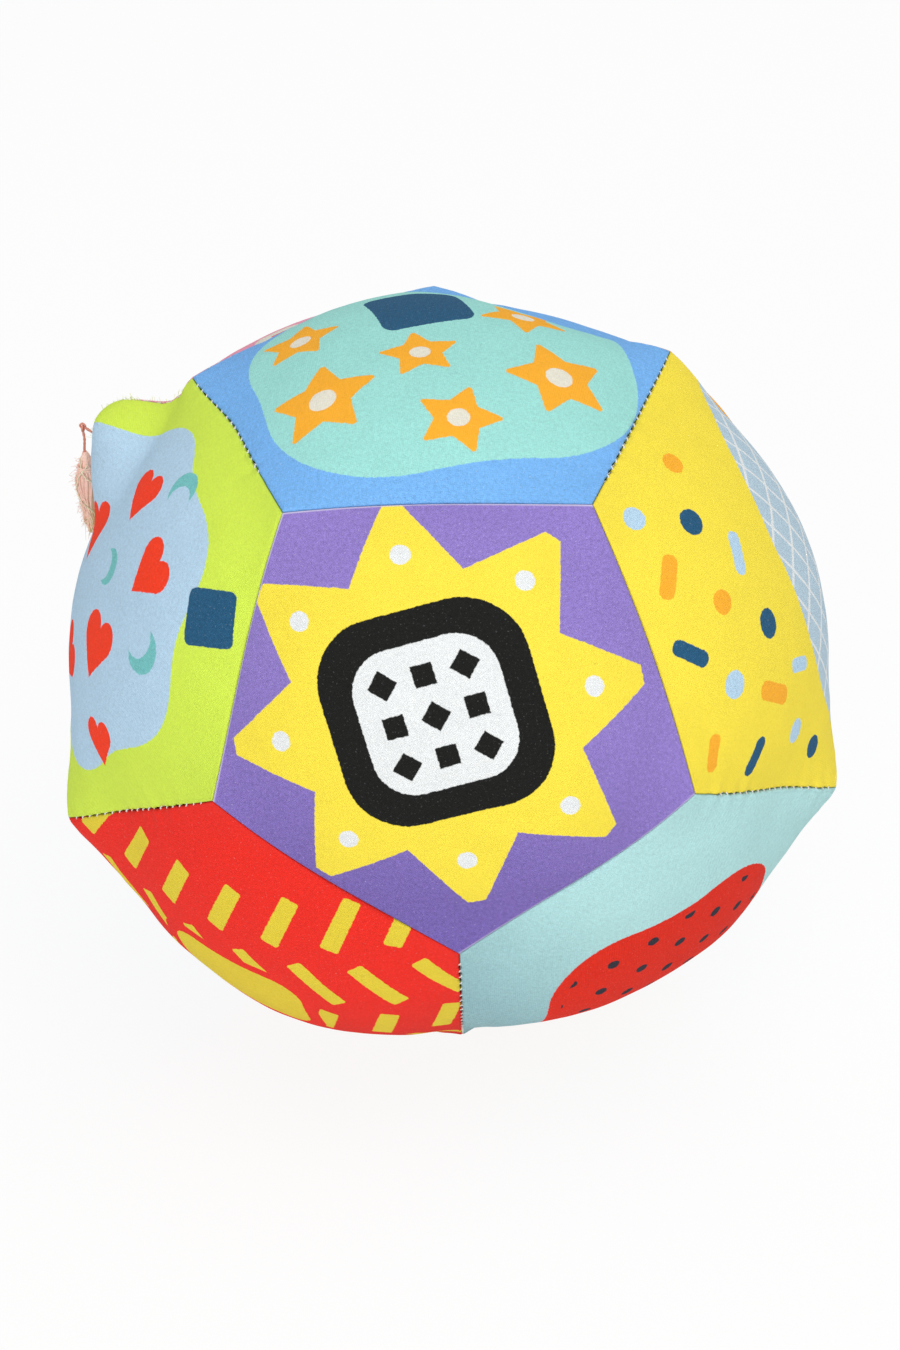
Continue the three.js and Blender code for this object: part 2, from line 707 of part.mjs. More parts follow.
const beadRadius = BEAD_DIAMETER / 2;
const beadRing = spigotInside - BEAD_WALL_GAP - beadRadius;
for (let i = 0; i < BEAD_COUNT; i += 1) {
  const angle = ((i + 0.5) / BEAD_COUNT) * 2 * Math.PI;
  const bead = piece(
    "rattle_bead_" + (i + 1),
    new THREE.IcosahedronGeometry(beadRadius, 1),
    BEAD_COLOUR,
    0.4,
  );
  bead.position.set(
    beadRing * Math.cos(angle),
    beadRing * Math.sin(angle),
    floorLevel + CLEARANCE + beadRadius,
  );
  ball.add(bead);
}

// Tassel: its cord turns in the seam's channel, and its neck turns in the cord's eye
const linkRadius = CORD_DIAMETER + CLEARANCE;
const eyeFromTip = CORD_STEM + CORD_DIAMETER / 2 + linkRadius;
const eyeRadius = tipRadius + eyeFromTip;

function link(axis) {
  const ring = new THREE.TorusGeometry(linkRadius, CORD_DIAMETER / 2, CORD_SIDES, RING_STEPS);
  return axis === "y" ? ring.rotateX(Math.PI / 2) : ring.rotateY(Math.PI / 2);
}

function upright(diameter, length) {
  const radius = diameter / 2;
  return new THREE.CylinderGeometry(radius, radius, length, CORD_SIDES).rotateX(Math.PI / 2);
}

// In the tassel's own frame +X points away from the ball, level, and +Z up. Its origin is the
// middle of the cord's eye.
const tassel = new THREE.Group();
const tasselAzimuth = Math.atan2(tasselSeamDirection.y, tasselSeamDirection.x);
tassel.position.copy(tasselSeamDirection).multiplyScalar(eyeRadius);
tassel.rotation.z = tasselAzimuth;
ball.add(tassel);

const rootLength = CORD_ROOT + eyeFromTip - linkRadius;
const cordRoot = upright(CORD_DIAMETER, rootLength);
cordRoot.translate(0, 0, -linkRadius - rootLength / 2);
const seamTilt = Math.PI / 2 - Math.asin(tasselSeamDirection.z);
const cordSolid = solidOf(link("y")).add(solidOf(cordRoot));
tassel.add(piece("tassel_cord", geometryOf(cordSolid).rotateY(seamTilt), YARN_COLOUR));

const hanging = new THREE.Group();
hanging.rotation.y = -THREE.MathUtils.degToRad(TASSEL_LEAN);
tassel.add(hanging);

const yarnTop = -2 * linkRadius - CORD_DIAMETER / 2 - CLEARANCE - FREE_NECK;
const neckLength = NECK_DEPTH + CORD_DIAMETER / 2 + CLEARANCE + FREE_NECK;
const neckStem = upright(CORD_DIAMETER, neckLength);
neckStem.translate(0, 0, -2 * linkRadius - neckLength / 2);
const neckRing = link("x").translate(0, 0, -linkRadius);
const neckSolid = solidOf(neckRing).add(solidOf(neckStem));
hanging.add(piece("tassel_neck", geometryOf(neckSolid), YARN_COLOUR));

const yarnRadius = TASSEL_DIAMETER / 2;
const yarnEndRadius = TASSEL_END_DIAMETER / 2;
const waistRadius = TASSEL_WAIST_DIAMETER / 2;
const boreRadius = CORD_DIAMETER / 2 + CLEARANCE;
const bindingRadius = BINDING_DIAMETER / 2;
const waistHalf = bindingRadius + CLEARANCE;
const bindingLevel = yarnTop - BINDING_DROP;
const skirtTop = bindingLevel - waistHalf;
const skirtEnd = yarnTop - TASSEL_LENGTH;
const skirtLength = skirtTop - skirtEnd;
const yarnProfile = [
  new THREE.Vector2(0, skirtEnd),
  new THREE.Vector2(yarnEndRadius, skirtEnd),
  ...SPINDLE.map(
    ({ up, wide }) => new THREE.Vector2(wide * yarnRadius, skirtEnd + up * skirtLength),
  ),
  new THREE.Vector2(waistRadius, skirtTop),
  new THREE.Vector2(waistRadius, bindingLevel + waistHalf),
  new THREE.Vector2(TASSEL_HEAD_DIAMETER / 2, bindingLevel + waistHalf + TASSEL_HEAD_HEIGHT),
  new THREE.Vector2(boreRadius + CLEARANCE, yarnTop),
  new THREE.Vector2(boreRadius, yarnTop),
  new THREE.Vector2(boreRadius, yarnTop - NECK_DEPTH),
  new THREE.Vector2(0, yarnTop - NECK_DEPTH),
];
hanging.add(piece("tassel_yarn", turned(yarnProfile, TASSEL_STEPS), YARN_COLOUR));

const binding = new THREE.TorusGeometry(
  waistRadius + CLEARANCE + bindingRadius,
  bindingRadius,
  CORD_SIDES,
  RING_STEPS,
);
binding.translate(0, 0, bindingLevel);
hanging.add(piece("tassel_binding", binding, THREAD_COLOUR));

export default part;
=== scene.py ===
"""A soft fabric ball of twelve printed cotton panels, with a yarn tassel in one seam.

Shapes are worked out in millimetres from the ball's centre and become metres in the row frame
when a mesh is made.
"""

import math
from functools import partialmethod, reduce
from itertools import combinations, product

import bpy
import numpy as np
from mathutils import Matrix, Vector, noise


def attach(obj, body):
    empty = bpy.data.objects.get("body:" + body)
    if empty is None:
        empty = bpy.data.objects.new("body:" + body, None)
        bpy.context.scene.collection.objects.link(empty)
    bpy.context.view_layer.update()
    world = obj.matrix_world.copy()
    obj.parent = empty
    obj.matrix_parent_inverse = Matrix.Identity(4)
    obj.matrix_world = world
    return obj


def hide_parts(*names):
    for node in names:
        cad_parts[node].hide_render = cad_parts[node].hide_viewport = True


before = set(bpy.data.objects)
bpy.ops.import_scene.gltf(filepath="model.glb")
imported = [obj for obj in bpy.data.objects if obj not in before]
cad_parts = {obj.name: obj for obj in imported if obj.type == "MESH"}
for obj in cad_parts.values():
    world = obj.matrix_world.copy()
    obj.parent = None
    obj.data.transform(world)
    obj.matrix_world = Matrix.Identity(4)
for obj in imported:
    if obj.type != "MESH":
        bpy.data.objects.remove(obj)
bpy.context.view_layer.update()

MM = 0.001
UP = np.array([0, 0, 1.0])

# The ball's size and fullness, the same as the CAD model's
BALL_RADIUS, CORNER_RISE, SEAM_DROP, PUFF_FULLNESS = 75.4, 1.4, 1.9, 1.4
CENTRE_HEIGHT = 73.079
FLOOR = -CENTRE_HEIGHT

# Cloth and sewing
CLOTH_THICKNESS = 0.8
SEAM_ALLOWANCE = 5
CLEAN_FOLD, STITCHED_FOLD = 0.4, 0.55  # radius of the cloth's turn into a seam
SEAM_GAP = 0.03  # from a folded edge to the middle of its seam
HOLE_HALF_WIDTH = 0.34  # how far a folded edge draws back between two stitches
STITCHES = 22  # along one seam
LAST_STITCH = 0.95  # the share of a seam, from its corner nearest the front, that shows stitches
STITCH_REACH = 0.28  # from a seam to where its stitches go into the cloth
THREAD_DIAMETER = 0.28

RING_ELEVATION = 90 - math.degrees(math.atan(2))
NEIGHBOUR_COSINE = 1 / math.sqrt(5)

# Azimuth turns from the front panel towards +X, elevation rises from the floor's plane
UPPER_RING = ("front", "right", "back_right", "back_left", "left")
LOWER_RING = ("lower_front_right", "lower_right", "lower_back", "lower_left", "lower_front_left")
PANELS = {"top": (0, 90)}
for i, name in enumerate(UPPER_RING):
    PANELS[name] = (72 * i, RING_ELEVATION)
for i, name in enumerate(LOWER_RING):
    PANELS[name] = (72 * i + 36, -RING_ELEVATION)
PANELS["bottom"] = (0, -90)


def unit(vectors):
    return vectors / np.linalg.norm(vectors, axis=-1, keepdims=True)


def mix(a, b, share):
    return a + (b - a) * share


def heading(degrees):
    return np.array([math.cos(math.radians(degrees)), math.sin(math.radians(degrees))])


def direction(azimuth, elevation):
    (south, east), (level, up) = heading(azimuth), heading(elevation)
    return np.array([east * level, -south * level, up])


NORMAL = {name: direction(*angles) for name, angles in PANELS.items()}
ALL_NORMALS = np.array(list(NORMAL.values()))


def between(*names):
    return unit(sum(NORMAL[name] for name in names))


def touching(first, second):
    return first != second and NORMAL[first] @ NORMAL[second] > 0


def pair(first, second):
    return frozenset((first, second))


# The stuffed ball's shape
corner_cosine = between("top", "front", "right") @ NORMAL["top"]
seam_cosine = between("top", "front") @ NORMAL["top"]
half_seam_angle = math.acos(seam_cosine)
CORNER_RADIUS = BALL_RADIUS + CORNER_RISE
FLAT_FACE_RADIUS = CORNER_RADIUS * corner_cosine
FLAT_SEAM_RADIUS = FLAT_FACE_RADIUS / seam_cosine
ROUNDNESS = (BALL_RADIUS - SEAM_DROP - FLAT_SEAM_RADIUS) / (CORNER_RADIUS - FLAT_SEAM_RADIUS)
PUFF_HEIGHT = BALL_RADIUS - mix(FLAT_FACE_RADIUS, CORNER_RADIUS, ROUNDNESS)

tassel_seam = between("left", "back_left")
tassel_seam_top = between("top", "left", "back_left")
tassel_seam_foot = between("left", "back_left", "lower_left")


def up_tassel_seam(place):
    return unit(mix(mix(tassel_seam, tassel_seam_top, place), NORMAL["left"], 0.05))


# Where the tassel's cord pulls its corner out, and the ridge and knuckle above: each has its
# place, its height and how far it reaches
tassel_ridge = up_tassel_seam(0.45)
PULLS = [(up_tassel_seam(0.12), 9, 14), (tassel_ridge, 5.6, 10), (up_tassel_seam(0.22), 0.6, 7)]
PULL_SPREAD = 1.5  # how much further a pull reaches towards the left panel's middle
# Swells and dips of the rest, given the same way
SWELLS = [
    (unit(mix(tassel_seam, tassel_seam_foot, 0.68)), -3.8, 18),
    (between("left", "lower_left", "lower_front_left"), 4, 24),
    (between("right", "lower_right", "lower_front_right"), 3.5, 24),
    (tassel_seam_top, 1.5, 24),
    (between("top", "right", "back_right"), 1.6, 24),
    (between("lower_left", "lower_front_left"), 1.8, 24),
    (between("top", "back_right"), -3.8, 32),
    (between("lower_front_left", "lower_front_right", "bottom"), -2.6, 42),
    (between("lower_front_right", "bottom"), -6, 42),
    (NORMAL["bottom"], -2, 26),
]


def nearness(units, at, reach):
    """1 at a point of the ball, 0 from a distance away from it."""
    distance = np.arccos(np.clip(units @ at, -1, 1)) * BALL_RADIUS
    return np.cos(np.pi / 2 * np.minimum(distance / reach, 1)) ** 2


def pull_height(pull, units):
    """A swell that runs out more gently towards the left panel's middle."""
    at, height, radius = pull
    leftward = unit(NORMAL["left"] - at * (NORMAL["left"] @ at))
    away = np.linalg.norm(units - at, axis=-1) + 1e-9
    share = np.clip(units @ leftward / away, 0, 1)
    return height * nearness(units, at, radius * (1 + (PULL_SPREAD - 1) * share**2))


def shifted_corner(at, reach, east, north):
    eastward = unit(np.cross(UP, at))
    return at, reach, (eastward * east + np.cross(at, eastward) * north) / CORNER_RADIUS


def shifted_seam(at, reach, distance, towards):
    move = NORMAL[towards] - at * (NORMAL[towards] @ at)
    return at, reach, unit(move) * distance / CORNER_RADIUS


# Corners and seams that lie off their even places
SEWN_SHIFTS = [
    shifted_corner(between("top", "front", "left"), 50, -2.2, 0),
    shifted_corner(between("front", "right", "lower_front_right"), 50, 0, -2.4),
    shifted_corner(between("front", "lower_front_left", "lower_front_right"), 50, 0, 2.6),
    shifted_corner(tassel_seam_top, 27, 1.4, -2.1),
    shifted_seam(between("top", "back_left"), 26, 2.5, "back_left"),
    shifted_seam(between("top", "back_right"), 26, 2.5, "back_right"),
    shifted_seam(between("right", "back_right"), 22, 1.5, "back_right"),
    shifted_seam(tassel_ridge, 9, 1.2, "back_left"),
]


def sewn(units):
    """Where directions of the even ball lie on the sewn one."""
    moved = units
    for at, reach, move in SEWN_SHIFTS:
        moved = moved + nearness(units, at, reach)[..., None] * move
    return unit(moved)


def skin_radius(units):
    cosines = -np.sort(-(units @ ALL_NORMALS.T), axis=-1)
    nearest = cosines[..., 0]
    rise = np.maximum(0, 1 - cosines[..., 1:6] / nearest[..., None]) / (1 - NEIGHBOUR_COSINE)
    fullness = 1 - np.maximum(0, 1 - rise.prod(axis=-1)) ** PUFF_FULLNESS
    radius = mix(FLAT_FACE_RADIUS / nearest, CORNER_RADIUS, ROUNDNESS) + PUFF_HEIGHT * fullness
    for at, height, reach in SWELLS:
        radius = radius + height * nearness(units, at, reach)
    for pull in PULLS:
        radius = radius + pull_height(pull, units)
    return radius


# Objects
def in_scene(thing):
    bpy.context.scene.collection.objects.link(thing)
    return thing


def mesh_object(name, points, faces, material):
    mesh = bpy.data.meshes.new(name)
    mesh.from_pydata(points, [], faces)
    mesh.update()
    mesh.polygons.foreach_set("use_smooth", [True] * len(faces))
    mesh.materials.append(material)
    return in_scene(bpy.data.objects.new(name, mesh))


def add_piece(name, shape, material, body, stands_for=None):
    """A mesh of (points, faces) that rides on a body, and may stand for a CAD node."""
    points, faces = shape
    in_row_frame = (np.asarray(points) + [0, 0, CENTRE_HEIGHT]) * MM
    piece = mesh_object(name, in_row_frame.tolist(), faces, material)
    if stands_for:
        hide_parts(stands_for)
    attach(piece, body)
    return piece


# Seams
TASSEL_SEAM = pair("left", "back_left")
# The seam whose thread lies loose at its first stitches, and shows white there
LOOSE_SEAM = pair("left", "lower_front_left")
# The share of a seam, from its corner nearest the front, before its first needle hole
FIRST_HOLE = {
    pair("top", "left"): 0.24,
    pair("top", "right"): 0.12,
    LOOSE_SEAM: 0.14,
    pair("right", "lower_front_right"): 0.12,
}
# How high the cloth ripples beside some seams; beside the rest it is lower
PUCKERS = {LOOSE_SEAM: 0.3, pair("right", "lower_front_right"): 0.26, TASSEL_SEAM: 0.3}


class Seam:
    """The line between two panels, measured along it from 0 to 1 by angle."""

    def __init__(self, first, second):
        self.names = (first, second)
        thirds = [name for name in NORMAL if touching(first, name) and touching(second, name)]
        corners = [between(first, second, third) for third in thirds]
        corners.sort(key=lambda corner: corner @ [0.31, 0.17, 0.93], reverse=True)
        self.start, self.end = corners
        self.middle = unit(self.start + self.end)
        self.along = unit(self.end - self.start)
        self.half_angle = math.acos(np.clip(self.start @ self.end, -1, 1)) / 2
        self.across = unit(NORMAL[first] - NORMAL[second])
        self.stitched = "front" not in self.names
        self.puckered = PUCKERS.get(pair(first, second), 0.15)
        self.first_hole = FIRST_HOLE.get(pair(first, second), 0.06)
        self.loose = pair(first, second) == LOOSE_SEAM
        self.starts_in_front = self.start @ NORMAL["front"] > self.end @ NORMAL["front"]
        self.seed = sum(ord(letter) for letter in first + second)

    def share(self, units):
        angle = np.arctan2(units @ self.along, units @ self.middle)
        return np.clip((angle / self.half_angle + 1) / 2, 0, 1)

    def direction(self, share):
        angle = (2 * np.asarray(share) - 1)[..., None] * self.half_angle
        return np.cos(angle) * self.middle + np.sin(angle) * self.along

    def distance(self, units):
        return np.abs(np.arcsin(np.clip(units @ self.across, -1, 1))) * BALL_RADIUS

    def from_front(self, share):
        return share if self.starts_in_front else 1 - share

    def hole(self, share):
        """Up to 1 in the middle between two stitches, 0 at a stitch, by place along the seam."""
        if not self.stitched:
            return np.zeros_like(share)
        wave = 0.5 + 0.5 * np.cos(2 * np.pi * share * STITCHES)
        away = self.from_front(share)
        ends = np.clip(np.minimum(away - self.first_hole, LAST_STITCH - away) / 0.03, 0, 1)
        fading = mix(1, 0.45, np.clip(away * 1.2, 0, 1))
        slow = 0.8 + 0.2 * np.sin(share * 23 + self.seed)
        return wave**2 * ends * slow * fading

    def puckers(self, units):
        """Height of the small ripples that the stitches draw into the cloth beside the seam."""
        share = self.share(units)
        if not self.stitched:
            return np.zeros_like(share)
        ripple = np.sin(2 * np.pi * share * STITCHES / 2 + self.seed)
        ripple = ripple + 0.6 * np.sin(2 * np.pi * share * STITCHES / 3.3 + 2.1 * self.seed)
        strength = 0.5 + 0.5 * np.sin(share * 9 + 1.7 * self.seed)
        ends = np.clip(np.minimum(share, 1 - share) / 0.12, 0, 1)
        reach = 2.4 + 1.2 * np.sin(share * 31 + self.seed)
        return self.puckered * ripple * strength * ends * np.exp(-self.distance(units) / reach)


SEAMS = {pair(*names): Seam(*names) for names in combinations(PANELS, 2) if touching(*names)}


# Panels. Each is a set of rings round its middle: over the outside, round the fold into the seam,
# along the turned-in allowance, and back over the inside. A ring has its steps on one side, its
# kind, a value that goes with the kind, and how deep it lies
PANEL_RINGS, INSIDE_RINGS = 56, 14
SEAM_STEPS, BACK_STEPS = 168, 48
SHOULDER = 3.4  # from the last ring of the even outer skin to its seam
RINGS = [(i, "skin", i / PANEL_RINGS, 0) for i in range(PANEL_RINGS + 1)]
RINGS += [(SEAM_STEPS, "shoulder", beside, 0) for beside in (1.8, 1.0, 0.5, 0.16)]
RINGS += [(SEAM_STEPS, "fold", math.radians(turn), 0) for turn in range(0, 91, 18)]
RINGS += [(SEAM_STEPS, "allowance", 0, inset) for inset in (1.6, 3.2, SEAM_ALLOWANCE)]
RINGS += [(BACK_STEPS, "back", CLOTH_THICKNESS, inset) for inset in (SEAM_ALLOWANCE, 2.4)]
RINGS += [(i, "inside", i / INSIDE_RINGS, CLOTH_THICKNESS) for i in range(INSIDE_RINGS, -1, -1)]


def panel_faces():
    """Triangles and quads between neighbouring rings, the same for every panel."""
    faces, first = [], 0
    for (steps, *_), (next_steps, *_) in zip(RINGS, RINGS[1:]):
        count, next_count = max(1, 5 * steps), max(1, 5 * next_steps)
        second = first + count
        a = b = 0
        while a < 5 * steps or b < 5 * next_steps:
            a_here, b_here = first + a % count, second + b % next_count
            a_next, b_next = first + (a + 1) % count, second + (b + 1) % next_count
            if steps == next_steps:
                faces.append((a_here, b_here, b_next, a_next))
                a, b = a + 1, b + 1
            elif b < 5 * next_steps and (b + 1) * count <= (a + 1) * next_count:
                faces.append((a_here, b_here, b_next))
                b += 1
            else:
                faces.append((a_here, b_here, a_next))
                a += 1
        first = second
    return faces


FACES = panel_faces()


def outline_share(distance):
    """How much a panel's outline shrinks so that its sides lie this far from the seams."""
    angle = half_seam_angle - distance / (BALL_RADIUS - SEAM_DROP)
    return np.tan(angle) / math.tan(half_seam_angle)


def frame_of(name):
    """A panel's own axes on the cloth, seen from outside: right, up."""
    normal = NORMAL[name]
    if abs(normal[2]) > 0.9:
        right = np.array([1.0, 0, 0])
    else:
        right = unit(np.cross(UP, normal))
    return right, np.cross(normal, right)


def panel_sides(name):
    """The panel's corners, counter-clockwise seen from outside, and its seam after each."""
    right, up = frame_of(name)
    around = [other for other in PANELS if touching(name, other)]
    around.sort(key=lambda other: math.atan2(NORMAL[other] @ up, NORMAL[other] @ right))
    corners, seams = [], []
    for before, after in zip(around, around[1:] + around[:1]):
        corner = between(name, before, after)
        corners.append(corner / (corner @ NORMAL[name]))
        seams.append(SEAMS[pair(name, after)])
    return corners, seams


def slow_noise(units, scale, seed):
    shift = Vector((seed * 7.31, seed * 3.17, seed * 5.73))
    return np.array([noise.noise(Vector(u) * scale + shift) for u in units])


def lumps(units):
    """Soft unevenness of the stuffing under the cloth, less towards the foot."""
    broad = 0.3 * slow_noise(units, 3.1, 1) + 0.16 * slow_noise(units, 7.3, 2)
    return (broad + 0.05 * slow_noise(units, 19, 3)) * np.clip(units[:, 2] * 4 + 3.8, 0, 1)


def panel_points(name):
    """Points, their directions on the even ball, their places on the flat cloth in millimetres,
    and how far each lies down in the seam."""
    normal = NORMAL[name]
    right, up = frame_of(name)
    corners, seams = panel_sides(name)
    rows = []
    for steps, kind, value, inset in RINGS:
        if steps == 0:
            centre = normal * (skin_radius(normal) - inset)
            centre[2] = max(centre[2], FLOOR + inset)
            rows.append((centre[None], normal[None], np.zeros((1, 2)), np.zeros(1)))
            continue
        flats, gaps, folds = [], [], []
        shares = (np.arange(steps) / steps)[:, None]
        for corner, following, seam in zip(corners, corners[1:] + corners[:1], seams):
            flats.append(mix(corner[None], following[None], shares))
            gaps.append(SEAM_GAP + HOLE_HALF_WIDTH * seam.hole(seam.share(unit(flats[-1]))))
            folds.append(np.full(steps, STITCHED_FOLD if seam.stitched else CLEAN_FOLD))
        flat, gap, fold = np.concatenate(flats), np.concatenate(gaps), np.concatenate(folds)
        drop = np.full(len(gap), float(inset))
        if kind in ("skin", "inside"):
            edge = SHOULDER if kind == "skin" else SEAM_GAP + CLOTH_THICKNESS
            share = np.full(len(gap), value * outline_share(edge))
        elif kind == "shoulder":
            share = outline_share(gap + fold + value)
        elif kind == "fold":
            share = outline_share(gap + fold * (1 - math.sin(value)))
            drop = fold * (1 - math.cos(value))
        else:
            share = outline_share(gap + value)
        units = unit(mix(normal[None], flat, share[:, None]))
        radius = skin_radius(units)
        for seam in seams:
            radius = radius + seam.puckers(units)
        if kind in ("skin", "shoulder"):
            radius = radius + lumps(units)
        points = sewn(units) * (radius - drop)[:, None]
        points[:, 2] = np.maximum(points[:, 2], FLOOR + drop)
        reach = np.arccos(np.clip(units @ normal, -1, 1)) * BALL_RADIUS
        if kind != "inside":
            reach = reach + drop
        across = unit(flat - normal[None] * (flat @ normal)[:, None])
        places = np.stack([across @ right, across @ up], axis=1) * reach[:, None]
        rows.append((points, units, places, drop))
    return [np.concatenate(column) for column in zip(*rows)]


# Materials
def linear(colour):
    """Scene-linear red, green, blue and alpha, of a colour as seen on screen from 0 to 255."""
    values = [value / 255 for value in colour]
    bent = [v / 12.92 if v <= 0.04045 else ((v + 0.055) / 1.055) ** 2.4 for v in values]
    return (*bent, 1)


def join(tree, value, socket):
    if isinstance(value, Field):
        value = value.value
    if isinstance(value, bpy.types.NodeSocket):
        tree.links.new(value, socket)
    else:
        socket.default_value = value


def add_node(tree, kind, *inputs, **settings):
    """A shader node, with its settings, and its first inputs set or joined; None skips one."""
    node = tree.nodes.new("ShaderNode" + kind)
    for setting, value in settings.items():
        setattr(node, setting, value)
    for socket, value in zip(node.inputs, inputs):
        if value is not None:
            join(tree, value, socket)
    return node


class Field:
    """A number that varies over a surface, as nodes of one material."""

    def __init__(self, tree, value):
        self.tree = tree
        self.value = value

    def math(self, operation, *others, clamp=False):
        node = add_node(self.tree, "Math", self, *others, operation=operation, use_clamp=clamp)
        return Field(self.tree, node.outputs[0])

    def __rsub__(self, other):
        return Field(self.tree, other) - self

    __add__ = __radd__ = partialmethod(math, "ADD")
    __sub__ = partialmethod(math, "SUBTRACT")
    __mul__ = __rmul__ = partialmethod(math, "MULTIPLY")
    __truediv__ = partialmethod(math, "DIVIDE")
    both = partialmethod(math, "MINIMUM")
    either = partialmethod(math, "MAXIMUM")
    size = partialmethod(math, "ABSOLUTE")
    within = partialmethod(math, "MAXIMUM", 0, clamp=True)  # held between 0 and 1


def new_material(name, roughness, sheen=0.0, specular=0.3):
    material = bpy.data.materials.new(name)
    material.use_nodes = True
    tree = material.node_tree
    shader = tree.nodes["Principled BSDF"]
    shader.inputs["Roughness"].default_value = roughness
    shader.inputs["Specular IOR Level"].default_value = specular
    shader.inputs["Sheen Weight"].default_value = sheen
    shader.inputs["Sheen Roughness"].default_value = 0.5
    return material, tree, shader


def mixed(tree, first, second, factor, blend="MIX"):
    node = add_node(tree, "Mix", factor, data_type="RGBA", blend_type=blend)
    join(tree, first, node.inputs[6])
    join(tree, second, node.inputs[7])
    return node.outputs[2]


def noise_field(tree, vector, scale, detail=2.0, roughness=0.5):
    node = add_node(tree, "TexNoise", vector, None, scale, detail, roughness)
    return Field(tree, node.outputs["Fac"])


def attribute(tree, name, output="Vector"):
    return add_node(tree, "Attribute", attribute_name=name).outputs[output]


def bump(tree, shader, height, depth_mm):
    node = add_node(tree, "Bump")
    node.inputs["Distance"].default_value = depth_mm * MM
    join(tree, height, node.inputs["Height"])
    tree.links.new(node.outputs["Normal"], shader.inputs["Normal"])


def mottled(name, dark, light, layers, shift, depth_mm, **finish):
    """A material that drifts between two colours. Each layer of noise has its scale, detail and
    roughness, and its shares of the colour and of the relief."""
    material, tree, shader = new_material(name, **finish)
    place = add_node(tree, "TexCoord").outputs["Object"]
    shade, height = shift, 0
    for scale, detail, roughness, colour_share, relief_share in layers:
        layer = noise_field(tree, place, scale, detail, roughness)
        shade = layer * colour_share + shade
        height = layer * relief_share + height
    colour = mixed(tree, linear(dark), linear(light), shade.within())
    tree.links.new(colour, shader.inputs["Base Color"])
    bump(tree, shader, height, depth_mm)
    return material


def spun_yarn(name, dark, light):
    layers = [(3500, 3, 0.7, 0.7, 1), (600, 2, 0.5, 0.6, 0)]
    finish = {"roughness": 0.85, "sheen": 0.25, "specular": 0.15}
    return mottled(name, dark, light, layers, -0.15, 0.08, **finish)


def plastic(name, dark, light, roughness):
    layers = [(90, 4, 0.6, 1, 1), (1800, 2, 0.5, 0, 1)]
    material = mottled(name, dark, light, layers, 0, 0.03, roughness=roughness, specular=0.5)
    shader = material.node_tree.nodes["Principled BSDF"]
    shader.inputs["Subsurface Weight"].default_value = 0.1
    shader.inputs["Subsurface Radius"].default_value = (0.002, 0.002, 0.002)
    return material


# Inks of the prints, and three colours of painted shade for the panels' feet
PURPLE = (146, 126, 200)
PAINTED_SHADE_PURPLE = (118, 100, 174)  # painted shade, at the front panel's foot
YELLOW = (250, 228, 74)
BLACK = (31, 31, 30)
WHITE = (232, 235, 235)
BLUE = (122, 182, 242)
MINT = (160, 224, 216)
ORANGE = (252, 178, 52)
NAVY = (42, 90, 124)
LIME = (212, 238, 84)
PALE_BLUE = (184, 214, 236)
RED = (252, 66, 36)
TEAL = (120, 196, 196)
SUN_YELLOW = (232, 210, 64)
CRIMSON = (242, 50, 40)
PAINTED_SHADE_CRIMSON = (226, 48, 38)  # painted shade, at the lower panel's foot
BRICK_RED = (228, 46, 28)
CHARCOAL = (52, 50, 60)
AQUA = (182, 226, 226)
PAINTED_SHADE_AQUA = (150, 193, 200)  # painted shade, at the lower panel's foot
PINK = (244, 160, 184)
CREAM = (232, 228, 212)
GRID_BLUE = (185, 208, 222)


